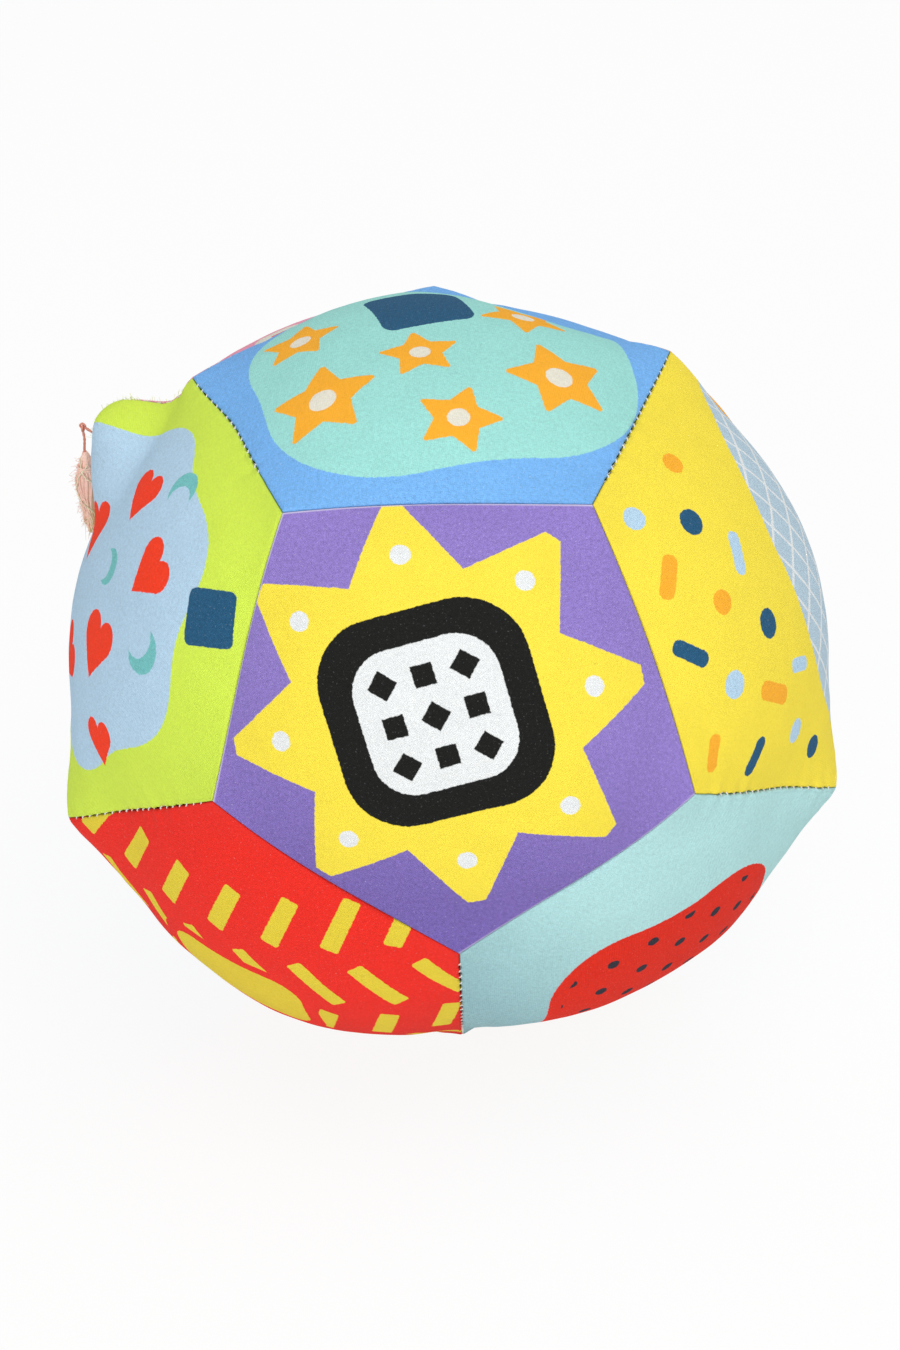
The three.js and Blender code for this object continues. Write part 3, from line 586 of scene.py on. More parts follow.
class Print:
    """A panel's printed motifs, drawn in millimetres on the flat cloth from its middle."""

    def __init__(self, tree, place, ground):
        self.tree = tree
        self.place = place
        self.colour = linear(ground)
        parts = add_node(tree, "SeparateXYZ", place)
        self.x = Field(tree, parts.outputs[0])
        self.y = Field(tree, parts.outputs[1])

    def turned(self, at, degrees):
        cosine, sine = heading(degrees)
        x = self.x.math("MULTIPLY_ADD", cosine, self.y * sine - (at[0] * cosine + at[1] * sine))
        y = self.y.math("MULTIPLY_ADD", cosine, self.x * -sine - (at[1] * cosine - at[0] * sine))
        return x, y

    def disc(self, at, radius):
        away = add_node(self.tree, "VectorMath", self.place, (*at, 0), operation="DISTANCE")
        return radius - Field(self.tree, away.outputs["Value"])

    def box(self, at, width, height, corner, degrees=0):
        x, y = self.turned(at, degrees)
        over_x = x.size() - (width / 2 - corner)
        over_y = y.size() - (height / 2 - corner)
        return corner - far(over_x.either(0), over_y.either(0)) - over_x.either(over_y).both(0)

    def star(self, at, radius, depth, points, degrees=0):
        x, y = self.turned(at, degrees)
        ray = (y.math("ARCTAN2", x) * points).math("COSINE")
        return ray * (depth / 2) + (radius - depth / 2) - far(x, y)

    def ray_star(self, at, radius, inner, points, degrees=0):
        """A star with straight sides and blunt points."""
        x, y = self.turned(at, degrees)
        half = math.pi / points
        turns = y.math("ARCTAN2", x) / (2 * half) + 0.5
        off = (turns.math("FRACT") - 0.5).size() * (2 * half)
        away = far(x, y)
        along, aside = away * off.math("COSINE"), away * off.math("SINE")
        notch_x, notch_y = inner * math.cos(half), inner * math.sin(half)
        side = math.hypot(radius - notch_x, notch_y)
        edge = (radius - along) * (notch_y / side) - aside * ((radius - notch_x) / side)
        return edge.both(radius * 0.93 - away)

    def diamond(self, at, width, degrees=0):
        x, y = self.turned(at, degrees)
        return (1 - (x.size() * (2 / width) + y.size() * (2 / width))) * (width / 3)

    def heart(self, at, size, degrees=0):
        x, y = self.turned(at, degrees)
        side = x.size()
        foot = 0.657 * (y + size * 0.55) - 0.754 * side
        top = 0.657 * (size * 0.27 - side) - 0.754 * (y - size * 0.2)
        point = foot.both(top).both(size * 0.28 - y)
        return point.either(size * 0.29 - far(side - size * 0.27, y - size * 0.2))

    def moon(self, at, radius, bite, degrees=0):
        x, y = self.turned(at, degrees)
        gone = radius * 0.86 - far(x - bite, y)
        return (radius - far(x, y)).both(0 - gone)

    def dots(self, spacing, radius, degrees=0):
        """A sheet of dots in staggered rows."""
        x, y = self.turned((0, 0), degrees)
        spots = []
        for shift in (0, 0.5):
            over_x = ((x / spacing + shift).math("FRACT") - 0.5) * spacing
            over_y = ((y / (spacing * 1.73) + shift).math("FRACT") - 0.5) * (spacing * 1.73)
            spots.append(radius - far(over_x, over_y))
        return spots[0].either(spots[1])

    def stripes(self, spacing, width, degrees=0):
        x, _ = self.turned((0, 0), degrees)
        return width / 2 - ((x / spacing).math("FRACT") - 0.5).size() * spacing

    def wave(self, at, height, length, degrees=0):
        """Everything below a wavy line."""
        x, y = self.turned(at, degrees)
        return (x * (2 * math.pi / length)).math("SINE") * height - y

    def ink(self, colour, *shapes):
        """Prints shapes, each given by the distance inwards from its edge."""
        self.tint(colour, reduce(Field.either, shapes) * 6 + 0.5)

    def tint(self, colour, share):
        """Lays a colour, of ink or of painted shade, that comes in gradually, from a share of 0 to
        1.
        """
        self.colour = mixed(self.tree, self.colour, linear(colour), share.within())


def far(x, y):
    return (x * x + y * y).math("SQRT")


# Spots of the prints are given as how far right, how far up, size and turn in degrees
def print_front(cloth):
    """A many-pointed star with a black and white square."""
    middle, tilt, pitch = np.array([-2.5, 2]), 14, 7.6
    # Painted shade: the purple deepens towards the panel's foot, and less on its right side
    cloth.tint(PAINTED_SHADE_PURPLE, (14 - cloth.y - cloth.x.either(0) * 0.5) / 63)
    cloth.ink(YELLOW, cloth.ray_star(middle, 43, 27, 8, 9))
    cloth.ink(BLACK, cloth.box(middle, 39, 39, 12, tilt))
    cloth.ink(WHITE, cloth.box(middle, 27, 27, 8, tilt))
    spots = []
    for row, column in product((-1, 0, 1), repeat=2):
        at = middle + pitch * (column * heading(tilt) + row * heading(tilt + 90))
        spots.append(cloth.diamond(at, 5.6, tilt + 45 * ((row + column) % 2)))
    cloth.ink(BLACK, *spots)
    cloth.ink(WHITE, *(cloth.disc(middle + 29.5 * heading(9 + 45 * i), 1.9) for i in range(8)))


def print_top(cloth):
    """Stars with pale middles on a mint shape."""
    cloth.ink(MINT, cloth.box((2, -1), 74, 66, 26, 12))
    spots = [(-21, -15, 9.6, 20), (4, -24, 7.4, 75), (23, -10, 9.4, 40)]
    spots += [(-3, -5, 7.0, 100), (-26, 9, 7.0, 10), (17, 12, 8.0, 55)]
    stars = [cloth.ray_star((x, y), r * 1.16, r * 0.6, 5, turn) for x, y, r, turn in spots]
    cloth.ink(ORANGE, *stars)
    cloth.ink(CREAM, *(cloth.disc((x, y), r * 0.28) for x, y, r, _ in spots))
    cloth.ink(NAVY, cloth.box((-3, 15), 18, 19, 2.5, 14))


def print_left(cloth):
    """Hearts and little moons on a pale blue shape."""
    cloth.ink(PALE_BLUE, cloth.star((-5, -1), 36, 4, 6, 45))
    hearts = [(10, 12, 11, -20), (-8, 19, 10, 15), (-22, 3, 11, 30)]
    hearts += [(3, -9, 12, 8), (-12, -20, 11, -25), (12, -25, 9, 20)]
    cloth.ink(RED, *(cloth.heart((x, y), s, turn) for x, y, s, turn in hearts))
    moons = [(-5, 4, 3.6, 200), (19, 0, 4.4, 150), (-25, -10, 4.0, 60), (3, 27, 4.0, 300)]
    cloth.ink(TEAL, *(cloth.moon((x, y), r, r * 0.62, turn) for x, y, r, turn in moons))
    cloth.ink(NAVY, cloth.box((30, 15), 11, 11, 1.5, 30))


def print_right(cloth):
    """Confetti beside a big checked shape."""
    band = cloth.box((34, -10), 68, 82, 33, -8)
    cloth.ink(GRID_BLUE, band)
    cloth.ink(WHITE, band.both(cloth.stripes(5.2, 0.6, 27)))
    cloth.ink(WHITE, band.both(cloth.stripes(7.6, 0.9, 117)))
    blue = [(-24, 32, 2.6), (-11, 12, 2.9), (-29, -4, 2.8), (-9, -15, 2.5), (-15, -26, 2.6)]
    orange = [(-28, 20, 3.0), (-22, 9, 2.5), (-20, -13, 3.3), (-6, 32, 2.5), (-39, -12, 2.5)]
    navy = [(-15, 23, 2.9), (-34, 7, 2.8), (-14, -2, 3.0), (-29, -21, 2.7), (-8, -35, 2.5)]
    for k, (colour, spots) in enumerate([(PALE_BLUE, blue), (ORANGE, orange), (NAVY, navy)]):
        shapes = []
        for i, (x, y, r) in enumerate(spots):
            if (i + k) % 2:
                shapes.append(cloth.box((x, y), r * 2.9, r * 1.1, r * 0.5, 50 * i + 35 * k))
            else:
                shapes.append(cloth.disc((x, y), r * 0.92))
        cloth.ink(colour, *shapes)


def print_lower_front_left(cloth):
    """Slanted bars in rows, and a plain soft square."""
    # Painted shade: the red deepens towards the panel's foot
    cloth.tint(PAINTED_SHADE_CRIMSON, (6 - cloth.y) / 36)
    bars = []
    for row, column in product(range(4), range(-3, 4)):
        at = (12.5 * column + 4 * (row % 2), 24 - 17 * row)
        bars.append(cloth.box(at, 3.8, 13.5, 0.6, 28 if row % 2 else -28))
    cloth.ink(SUN_YELLOW, *bars)
    cloth.ink(CRIMSON, cloth.box((-5, -4), 35, 27, 8, -12))
    cloth.ink(SUN_YELLOW, cloth.box((-5, -4), 29, 21, 6, -12))


def print_lower_front_right(cloth):
    """A big soft square with a grid of dots."""
    # Painted shade: the aqua deepens towards the panel's foot and its left side
    cloth.tint(PAINTED_SHADE_AQUA, (10 - cloth.y - cloth.x * 0.8) / 45)
    square = cloth.box((1, -2), 52, 45, 17, 12)
    cloth.ink(BRICK_RED, square)
    cloth.ink(CHARCOAL, cloth.dots(9, 1.25, 28).both(square - 2.5))


def print_back_left(cloth):
    """Discs in two sizes."""
    cloth.ink(CREAM, cloth.dots(21, 6.2, 20))
    cloth.ink(RED, cloth.dots(21, 2.6, 20))


def print_back_right(cloth):
    """Waves under a blue disc."""
    cloth.ink(BLUE, cloth.disc((8, 54), 37))
    for colour, level in ((YELLOW, 6), (CREAM, -8), (TEAL, -22)):
        cloth.ink(colour, cloth.wave((0, level), 4, 26, 8))


def print_lower_back(cloth):
    """A striped band on purple."""
    band = 15 - cloth.turned((0, 0), 24)[1].size()
    cloth.ink(LIME, band)
    cloth.ink(NAVY, cloth.stripes(10, 5, 24).both(band))


def print_lower_left(cloth):
    """Moons and dots on blue."""
    moons = [(-14, 14, 9, 30), (14, 2, 9, 200), (-10, -18, 8, 110), (20, -24, 6, 10)]
    cloth.ink(YELLOW, *(cloth.moon((x, y), r, r * 0.6, turn) for x, y, r, turn in moons))
    spots = [(8, 22, 2.4), (-28, 0, 2.6), (2, -6, 2.2), (28, 14, 2.4), (6, -30, 2.4)]
    cloth.ink(WHITE, *(cloth.disc((x, y), r) for x, y, r in spots))


def print_lower_right(cloth):
    """Triangles on mint."""
    spots = [(-20, 16, 9, 0), (6, 22, 7, 60), (20, 4, 9, 20), (-4, -4, 10, 80), (-24, -14, 7, 30)]
    spots += [(14, -22, 8, 100), (-8, -28, 6, 50)]
    cloth.ink(PINK, *(cloth.star((x, y), r, r * 0.4, 3, turn) for x, y, r, turn in spots))
    cloth.ink(NAVY, *(cloth.disc((x, y), r * 0.28) for x, y, r, _ in spots))


def print_bottom(cloth):
    """White dots on yellow bars."""
    cloth.ink(YELLOW, cloth.stripes(15, 3, 35))
    cloth.ink(WHITE, cloth.dots(15, 2.2, 35))


PRINTS = {
    "top": (BLUE, print_top),
    "front": (PURPLE, print_front),
    "right": (YELLOW, print_right),
    "back_right": (ORANGE, print_back_right),
    "back_left": (PINK, print_back_left),
    "left": (LIME, print_left),
    "lower_front_right": (AQUA, print_lower_front_right),
    "lower_right": (MINT, print_lower_right),
    "lower_back": (PURPLE, print_lower_back),
    "lower_left": (BLUE, print_lower_left),
    "lower_front_left": (CRIMSON, print_lower_front_left),
    "bottom": (ORANGE, print_bottom),
}

WEAVE_PITCH = 0.36  # between two threads of the cotton
# How much the threads, fuzz, grain and mottled ink change a colour's tone
WEAVE_TONE, FUZZ_TONE, GRAIN_TONE, MOTTLE_TONE = 0.07, 0.56, 0.48, 0.12
LINT_COLOUR, SMUDGE_COLOUR, BARE_EDGE_COLOUR = (238, 234, 236), (70, 62, 60), (214, 206, 232)
# Seams where the front panel's bare edge shows as a pale line, and how strongly
PALE_EDGES = {"left": 1.0, "top": 1.0, "lower_front_right": 0.6}
PALE_EDGE_WIDTH = 0.26


def cotton(name, ground, draw, seed):
    """Plain-woven printed cotton: its threads, fuzz, lint, mottled ink, a few smudges and painted
    shade down in the seams.
    """
    material, tree, shader = new_material("cloth_" + name, 0.95, sheen=0.03, specular=0.08)
    flat = attribute(tree, "place")
    # The edges of the ink wander a little
    drift = add_node(tree, "TexNoise", flat, None, 1.3, 3).outputs["Color"]
    away = add_node(tree, "VectorMath", drift, (0.5, 0.5, 0.5), operation="SUBTRACT").outputs[0]
    place = add_node(tree, "VectorMath", away, (0.5, 0.5, 0), flat, operation="MULTIPLY_ADD")
    cloth = Print(tree, place.outputs[0], ground)
    draw(cloth)
    # Warp and weft, a little uneven
    warp, weft = Print(tree, flat, ground).turned((0, 0), 7 + 31 * seed)
    uneven = noise_field(tree, flat, 0.9, 2) * 0.5
    warp_wave = ((warp / WEAVE_PITCH + uneven) * math.pi).math("SINE")
    weft_wave = ((weft / WEAVE_PITCH + uneven) * math.pi).math("SINE")
    weave = (warp_wave * weft_wave).size()
    fuzz = noise_field(tree, flat, 3.4, 3, 0.75)
    grain = noise_field(tree, flat, 1.25, 4, 0.7)
    mottle = noise_field(tree, flat, 0.13, 3, 0.6)
    # Dark and cool inks show the cloth's fuzz and lint more than light and warm ones
    inks = add_node(tree, "SeparateColor", cloth.colour)
    red, green, blue = (Field(tree, output) for output in inks.outputs)
    lightness = red * 0.21 + green * 0.72 + blue * 0.07
    warmth = (red - blue).either(0)
    contrast = (2.4 - lightness * 2.1).both(1.7) * (1 - warmth * 0.6)
    tone = (weave - 0.4) * WEAVE_TONE + (fuzz - 0.5) * FUZZ_TONE + (grain - 0.5) * GRAIN_TONE
    tone = 0.98 + tone * contrast + (mottle - 0.5) * MOTTLE_TONE
    # Painted shade: the cloth darker down in the seams, where the folds keep the light out
    shade = 1 - (Field(tree, attribute(tree, "depth", "Fac")) * 0.55).both(0.75)
    colour = mixed(tree, cloth.colour, tone * shade, 1.0, "MULTIPLY")
    lint = (noise_field(tree, flat, 2.3, 2, 0.6) - 0.63).math("MULTIPLY", 5.0, clamp=True)
    lint = lint * (0.08 + lightness.both(0.3)) * contrast
    colour = mixed(tree, colour, linear(LINT_COLOUR), lint)
    smudges = (noise_field(tree, flat, 0.31, 1, 0.5) - 0.77).math("MULTIPLY", 9.0, clamp=True)
    colour = mixed(tree, colour, linear(SMUDGE_COLOUR), smudges * 0.3)
    pale = attribute(tree, "pale", "Fac")
    colour = mixed(tree, colour, linear(BARE_EDGE_COLOUR), pale)
    tree.links.new(colour, shader.inputs["Base Color"])
    bump(tree, shader, weave * 0.6 + fuzz * 0.9 + grain * 0.5, 0.09)
    return material


def panel(name, seed):
    points, units, places, depths = panel_points(name)
    material = cotton(name, *PRINTS[name], seed)
    slot, node = "cloth_" + name, "panel_" + name
    piece = add_piece("cloth_panel_" + name, (points, FACES), material, "ball", node)
    pale = np.zeros(len(points))
    if name == "front":
        for other, strength in PALE_EDGES.items():
            near = SEAMS[pair(name, other)].distance(units)
            line = strength * np.clip(2 - near / PALE_EDGE_WIDTH, 0, 1) * np.exp(-depths / 0.5)
            pale = np.maximum(pale, line)
    measures = [
        ("place", "FLOAT_VECTOR", "vector", np.pad(places, ((0, 0), (0, 1)))),
        ("depth", "FLOAT", "value", depths),
        ("pale", "FLOAT", "value", pale),
    ]
    for label, kind, field, values in measures:
        written = piece.data.attributes.new(label, kind, "POINT").data
        written.foreach_set(field, values.astype(np.float32).ravel())


# Threads and yarns
def tube(points, radii, sides):
    """(points, faces) of a round tube with closed ends, along a path."""
    points = np.asarray(points, float)
    along = unit(np.gradient(points, axis=0))
    side = unit(np.cross(along[0], [0.3, 0.5, 0.81]))
    angles = np.arange(sides) / sides * 2 * np.pi
    rings = []
    for at, ahead, radius in zip(points, along, np.broadcast_to(radii, len(points))):
        side = unit(side - ahead * (side @ ahead))
        ring = np.outer(np.cos(angles), side) + np.outer(np.sin(angles), np.cross(ahead, side))
        rings.append(at + radius * ring)
    vertices = np.concatenate([*rings, points[:1], points[-1:]])
    start, end, last = len(vertices) - 2, len(vertices) - 1, (len(points) - 1) * sides
    turn = [(j, (j + 1) % sides) for j in range(sides)]
    faces = []
    for i in range(0, last, sides):
        faces += [(i + j, i + k, i + sides + k, i + sides + j) for j, k in turn]
    for j, k in turn:
        faces += [(start, k, j), (end, last + j, last + k)]
    return vertices, faces


def joined(solids):
    vertices, faces, count = [], [], 0
    for points, polygons in solids:
        vertices.append(points)
        faces += [tuple(count + index for index in face) for face in polygons]
        count += len(points)
    return np.concatenate(vertices), faces


def smooth_path(points, steps):
    """A curve through points, with this many steps between two of them."""
    points = np.asarray(points, float)
    padded = np.concatenate([[2 * points[0] - points[1]], points, [2 * points[-1] - points[-2]]])
    path = []
    for a, b, c, d in zip(padded, padded[1:], padded[2:], padded[3:]):
        for t in np.arange(steps) / steps:
            level = 2 * b + (c - a) * t
            bent = (2 * a - 5 * b + 4 * c - d) * t**2 + (3 * b - a - 3 * c + d) * t**3
            path.append(0.5 * (level + bent))
    return np.array([*path, points[-1]])


def twisted(points, diameter, pitch, sides=8):
    """A two-ply yarn along a path."""
    vertices, faces = tube(points, diameter / 2, sides)
    lengths = np.linalg.norm(np.diff(points, axis=0), axis=1)
    along = np.concatenate([[0], np.cumsum(lengths)])
    around = np.arange(sides) / sides * 2 * np.pi
    for i, at in enumerate(points):
        plies = 1 + 0.2 * np.cos(2 * around - 2 * np.pi * along[i] / pitch)
        ring = slice(i * sides, (i + 1) * sides)
        vertices[ring] = at + (vertices[ring] - at) * plies[:, None]
    return vertices, faces


def fibre_path(root, away, length, curl):
    """A loose thread end that bends aside as it goes."""
    along = length * np.array([[0], [0.35], [0.7], [1]])
    return root + away * along + curl * along**2


# One stitch of a seam's thread: how far aside, as a share of its reach, how far along, as a share
# of the stitch, and how deep
STITCH = [
    (1.2, -0.12, -0.6),
    (0.85, -0.1, -0.22),
    (0, 0.0, -0.16),
    (-0.85, 0.1, -0.22),
    (-1.2, 0.12, -0.6),
    (-0.5, 0.35, -0.95),
    (0.5, 0.62, -0.95),
]
HIDDEN_DEPTH = 1.1  # of a thread that doesn't show
LOOSE_REACH, LOOSE_SHARE = 2.0, 0.22  # a loose stitch's reach, and where it is an even one again


def seam_stitches(seam, material, start, end, label):
    """One run of thread: over the seam at every stitch and back under the cloth."""
    route = []
    random = np.random.default_rng(seam.seed)
    for i in range(math.ceil(start * STITCHES), math.floor(end * STITCHES)):
        share = (i + 0.5) / STITCHES
        sway = random.uniform(-0.16, 0.16)
        reach = STITCH_REACH * random.uniform(0.75, 1.15)
        away = seam.from_front(share)
        shown = seam.stitched and (away > seam.first_hole or seam.loose)
        if seam.loose:
            reach *= mix(LOOSE_REACH, 1.0, min(away / LOOSE_SHARE, 1))
        for side, step, depth in STITCH:
            at = seam.direction(share + (step + sway * abs(side)) / STITCHES)
            shoulder = unit(at + seam.across * (side * reach / BALL_RADIUS))
            edge = unit(at + seam.across * (reach / BALL_RADIUS))
            radius = skin_radius(edge) + depth - (0 if shown else HIDDEN_DEPTH)
            point = sewn(shoulder) * radius
            point[2] = max(point[2], FLOOR + 0.4)
            route.append(point)
    shape = tube(smooth_path(route, 3), THREAD_DIAMETER / 2, 6)
    add_piece("stitches_" + label, shape, material, "ball", "seam_thread_" + label)


def all_stitches():
    grey, white = (205, 202, 196), (245, 243, 238)
    layers = [(2500, 2, 0.5, 1, 1)]
    material = mottled("sewing_thread", grey, white, layers, 0, 0.05, roughness=0.7, sheen=0.2)
    for names, seam in SEAMS.items():
        label = "_".join(seam.names)
        if names == TASSEL_SEAM:
            # Two runs of thread, above and below the tassel's cord
            seam_stitches(seam, material, 0.04, 0.46, label + "_upper")
            seam_stitches(seam, material, 0.54, 0.96, label + "_lower")
        else:
            seam_stitches(seam, material, 0.04, 0.96, label)


# Tassel, in millimetres from the middle of its cord's eye: out from the ball, sideways, up
CORD_DIAMETER, CORD_STEM, FREE_NECK, LINK_CLEARANCE = 0.8, 4, 3, 0.3
LINK_RADIUS = CORD_DIAMETER + LINK_CLEARANCE
CORD_ROOT = SEAM_ALLOWANCE - LINK_CLEARANCE
EYE_FROM_TIP = CORD_STEM + CORD_DIAMETER / 2 + LINK_RADIUS
TASSEL_LEAN = math.radians(0.5)
YARN_TOP = -2 * LINK_RADIUS - CORD_DIAMETER / 2 - LINK_CLEARANCE - FREE_NECK
TASSEL_LENGTH = 18
# The yarn bundle's outline: how far below its top, and its radius there
BUNDLE = [
    (0, 0.3), (0.8, 0.7), (2, 1.25), (3, 1.55), (3.4, 1.6), (4.2, 1.95), (6, 2.3),
    (8.5, 2.2), (11, 1.85), (13.5, 1.4), (16, 0.9), (TASSEL_LENGTH, 0.4),
]
# The threads that cross the bundle: from where to where below its top, turns, first angle
CROSSING_THREADS = [
    (1.2, 15.5, 1.1, 0.3), (2.2, 17.6, -0.8, 2.2), (0.9, 14.5, 0.7, 4.4), (3.2, 18.4, 0.35, 5.3),
]
BINDING_DEPTH, BINDING_RADIUS, BINDING_TURNS, BINDING_WIDTH = 3.4, 1.7, 2.6, 0.8
STRANDS, STRAND_DIAMETER, GOLDEN_ANGLE = 64, 0.42, 2.39996
FIBRES, FIBRE_RADIUS = 700, 0.035
# Fibres towards the ball are short, because longer ones would touch the cloth in a swing
BALLWARD_SHARE = 0.35
FRAYED_ENDS, FRAYED_TIP_ENDS = 200, 90
LOOP_RADIUS, LOOP_DIAMETER, THIN_CORD = 0.55, 0.42, 0.5  # of the two cords where they link

tip_radius = skin_radius(tassel_seam)
eye = tassel_seam * (tip_radius + EYE_FROM_TIP)
outward = unit(tassel_seam * [1, 1, 0])
sideways = np.cross(UP, outward)


def tassel_points(points, lean=TASSEL_LEAN):
    points = np.asarray(points, float)
    leaned = points[:, :1] - points[:, 2:] * math.tan(lean)
    return eye + leaned * outward + points[:, 1:2] * sideways + points[:, 2:] * UP


def arc(centre, radius, start, end, steps, plane):
    """Points of a circle in two of the tassel's axes, angles in degrees."""
    angles = np.radians(np.linspace(start, end, steps + 1))
    points = np.zeros((steps + 1, 3))
    points[:, plane[0]] = radius * np.cos(angles)
    points[:, plane[1]] = radius * np.sin(angles)
    return points + centre


def bundle_radius(below):
    return np.interp(below, *zip(*BUNDLE))


def round_bundle(below, reach, angle):
    """Points round the bundle's middle line."""
    return np.stack([reach * np.cos(angle), reach * np.sin(angle), YARN_TOP - below], axis=1)


def tassel_strand(angle, share, length, random):
    """One yarn of the bundle, from its top over its shoulder to its loose end."""
    below = np.linspace(0, length, 22)
    swirl = angle + 0.25 * np.sin(below * 0.4 + random.uniform(0, 6)) + below * 0.04
    loose = (below / length) ** 3 * random.uniform(0, 0.7)
    return round_bundle(below, bundle_radius(below) * share + loose, swirl)


def tassel():
    random = np.random.default_rng(12)
    yarn = spun_yarn("tassel_yarn", (255, 190, 170), (255, 232, 218))
    red_thread = spun_yarn("tassel_cord_thread", (196, 112, 96), (230, 160, 142))
    pale = spun_yarn("tassel_pale_thread", (226, 206, 170), (246, 236, 208))
    strands = []
    for i in range(STRANDS):
        share = math.sqrt((i + 0.5) / STRANDS)
        length = TASSEL_LENGTH + random.uniform(-2.6, 1.6) * share
        strands.append(tassel_strand(i * GOLDEN_ANGLE, share * 0.9, length, random))
    solids = [twisted(tassel_points(path), STRAND_DIAMETER, 1.3, 6) for path in strands]
    below = np.linspace(1, TASSEL_LENGTH - 3, 16)
    core = tassel_points(round_bundle(below, 0 * below, 0))
    solids.append(tube(core, bundle_radius(below) * 0.78, 14))
    add_piece("tassel_strands", joined(solids), yarn, "tassel", "tassel_yarn")

    fuzz = []
    for i in range(FIBRES):
        path = strands[random.integers(STRANDS // 2, STRANDS)]
        at = path[random.integers(2, len(path))]
        droop = -0.3 if i % 2 else -3.0
        away = unit(at * [1, 1, 0] + random.normal(0, 0.35, 3) + [0, 0, droop])
        curl = random.normal(0, 0.4, 3)
        length = random.uniform(0.5, 1.4) if i % 2 else random.uniform(1, 2.6)
        if away[0] < 0.2:
            length *= BALLWARD_SHARE
        fuzz.append(tube(tassel_points(fibre_path(at, away, length, curl / 2)), FIBRE_RADIUS, 3))
    add_piece("tassel_fuzz", joined(fuzz), yarn, "tassel")

    wound = []
    for number, (start, end, turns, phase) in enumerate(CROSSING_THREADS):
        below = np.linspace(start, end, 40)
        angle = phase + turns * 2 * np.pi * (below - start) / (end - start)
        angle = angle + 0.25 * np.sin(below * 0.9 + number)
        points = round_bundle(below, bundle_radius(below) + 0.12, angle)
        wound.append(twisted(tassel_points(points), 0.3, 0.9, 6))
    add_piece("tassel_crossing_threads", joined(wound), pale, "tassel")

    wraps = np.linspace(0, BINDING_TURNS, 60)
    below = BINDING_DEPTH - (wraps / BINDING_TURNS - 0.5) * BINDING_WIDTH
    points = round_bundle(below, BINDING_RADIUS, wraps * 2 * np.pi)
    wrapped = twisted(tassel_points(points), 0.3, 1.1, 6)
    add_piece("tassel_binding_wraps", wrapped, yarn, "tassel", "tassel_binding")

    ring = arc([0, 0, -LOOP_RADIUS], LOOP_RADIUS, -90, 270, 24, (1, 2))
    stem = [(0, 0.05, -2 * LOOP_RADIUS), (-0.15, 0.1, -3), (0.1, 0.05, YARN_TOP)]
    stem = smooth_path([*stem, (0, 0, YARN_TOP - 2)], 6)
    parts = [twisted(tassel_points(ring), LOOP_DIAMETER, 1.1)]
    parts.append(twisted(tassel_points(stem), THIN_CORD, 1.1))
    add_piece("tassel_neck_cord", joined(parts), red_thread, "tassel", "tassel_neck")

    # The cord in the seam doesn't lean with the tassel
    tilt = math.asin(tassel_seam[2])
    degrees = math.degrees(tilt)
    ring = arc([0, 0, 0], LOOP_RADIUS, 180 + degrees, 540 + degrees, 24, (0, 2))
    inwards = -np.array([math.cos(tilt), 0, math.sin(tilt)])
    lengths = np.linspace(LOOP_RADIUS, CORD_ROOT + EYE_FROM_TIP, 16)
    parts = [twisted(tassel_points(ring, 0), LOOP_DIAMETER, 1.1)]
    parts.append(twisted(tassel_points(lengths[:, None] * inwards, 0), THIN_CORD, 1.1))
    add_piece("tassel_seam_cord", joined(parts), red_thread, "tassel_loop", "tassel_cord")


def frayed_corner():
    """Loose ends of cloth threads along the seam of the pulled corner."""
    random = np.random.default_rng(5)
    fray = spun_yarn("frayed_threads", (226, 232, 150), (250, 250, 226))
    across = SEAMS[TASSEL_SEAM].across
    solids = []
    for i in range(FRAYED_ENDS + FRAYED_TIP_ENDS):
        at_tip = i >= FRAYED_ENDS
        place = random.normal(0.03, 0.025) if at_tip else random.triangular(-0.06, 0.05, 0.8)
        at = unit(mix(tassel_seam, tassel_seam_top, place))
        at = unit(at + across * random.normal(0, 0.35) / BALL_RADIUS)
        root = sewn(at) * (skin_radius(at) - 0.35)
        away = unit(at + random.normal(0, 0.45, 3))
        length = random.uniform(0.4, 1.3) + (0.9 if at_tip or random.random() < 0.12 else 0)
        path = fibre_path(root, away, length, random.normal(0, 0.5, 3) * 0.4)
        solids.append(tube(path, random.uniform(0.035, 0.07), 4))
    add_piece("frayed_cloth_ends", joined(solids), fray, "ball")


# Inside: stuffing and the rattle
RATTLE_DIAMETER, RATTLE_HEIGHT, RATTLE_WALL, RATTLE_CHAMFER = 32, 30, 1.5, 4
CAP_HEIGHT, CAP_SPIGOT_DEPTH, CAP_CLEARANCE, SHELL_ROUNDING = 8, 4, 0.3, 0.6
BEADS = 4
STUFFING_GAP = 0.7  # under the cloth, between the halves and round the rattle
GROOVE_DEPTH, GROOVE_REACH = 4.6, 2.6  # of the stuffing where a seam's allowances lie


def circle_of(around):
    azimuths = np.arange(around) / around * 2 * np.pi
    return np.stack([np.cos(azimuths), np.sin(azimuths), np.zeros(around)], axis=1)


def ring_faces(rings, around, flipped=False):
    """Closed by a middle point at either end, which are the last two points."""
    turn = [(j, (j + 1) % around) for j in range(around)]
    foot = (rings - 1) * around
    faces = []
    for i in range(0, foot, around):
        faces += [(i + j, i + around + j, i + around + k, i + k) for j, k in turn]
    first, last = rings * around, rings * around + 1
    for j, k in turn:
        faces += [(first, j, k), (last, foot + k, foot + j)]
    return [face[::-1] for face in faces] if flipped else faces


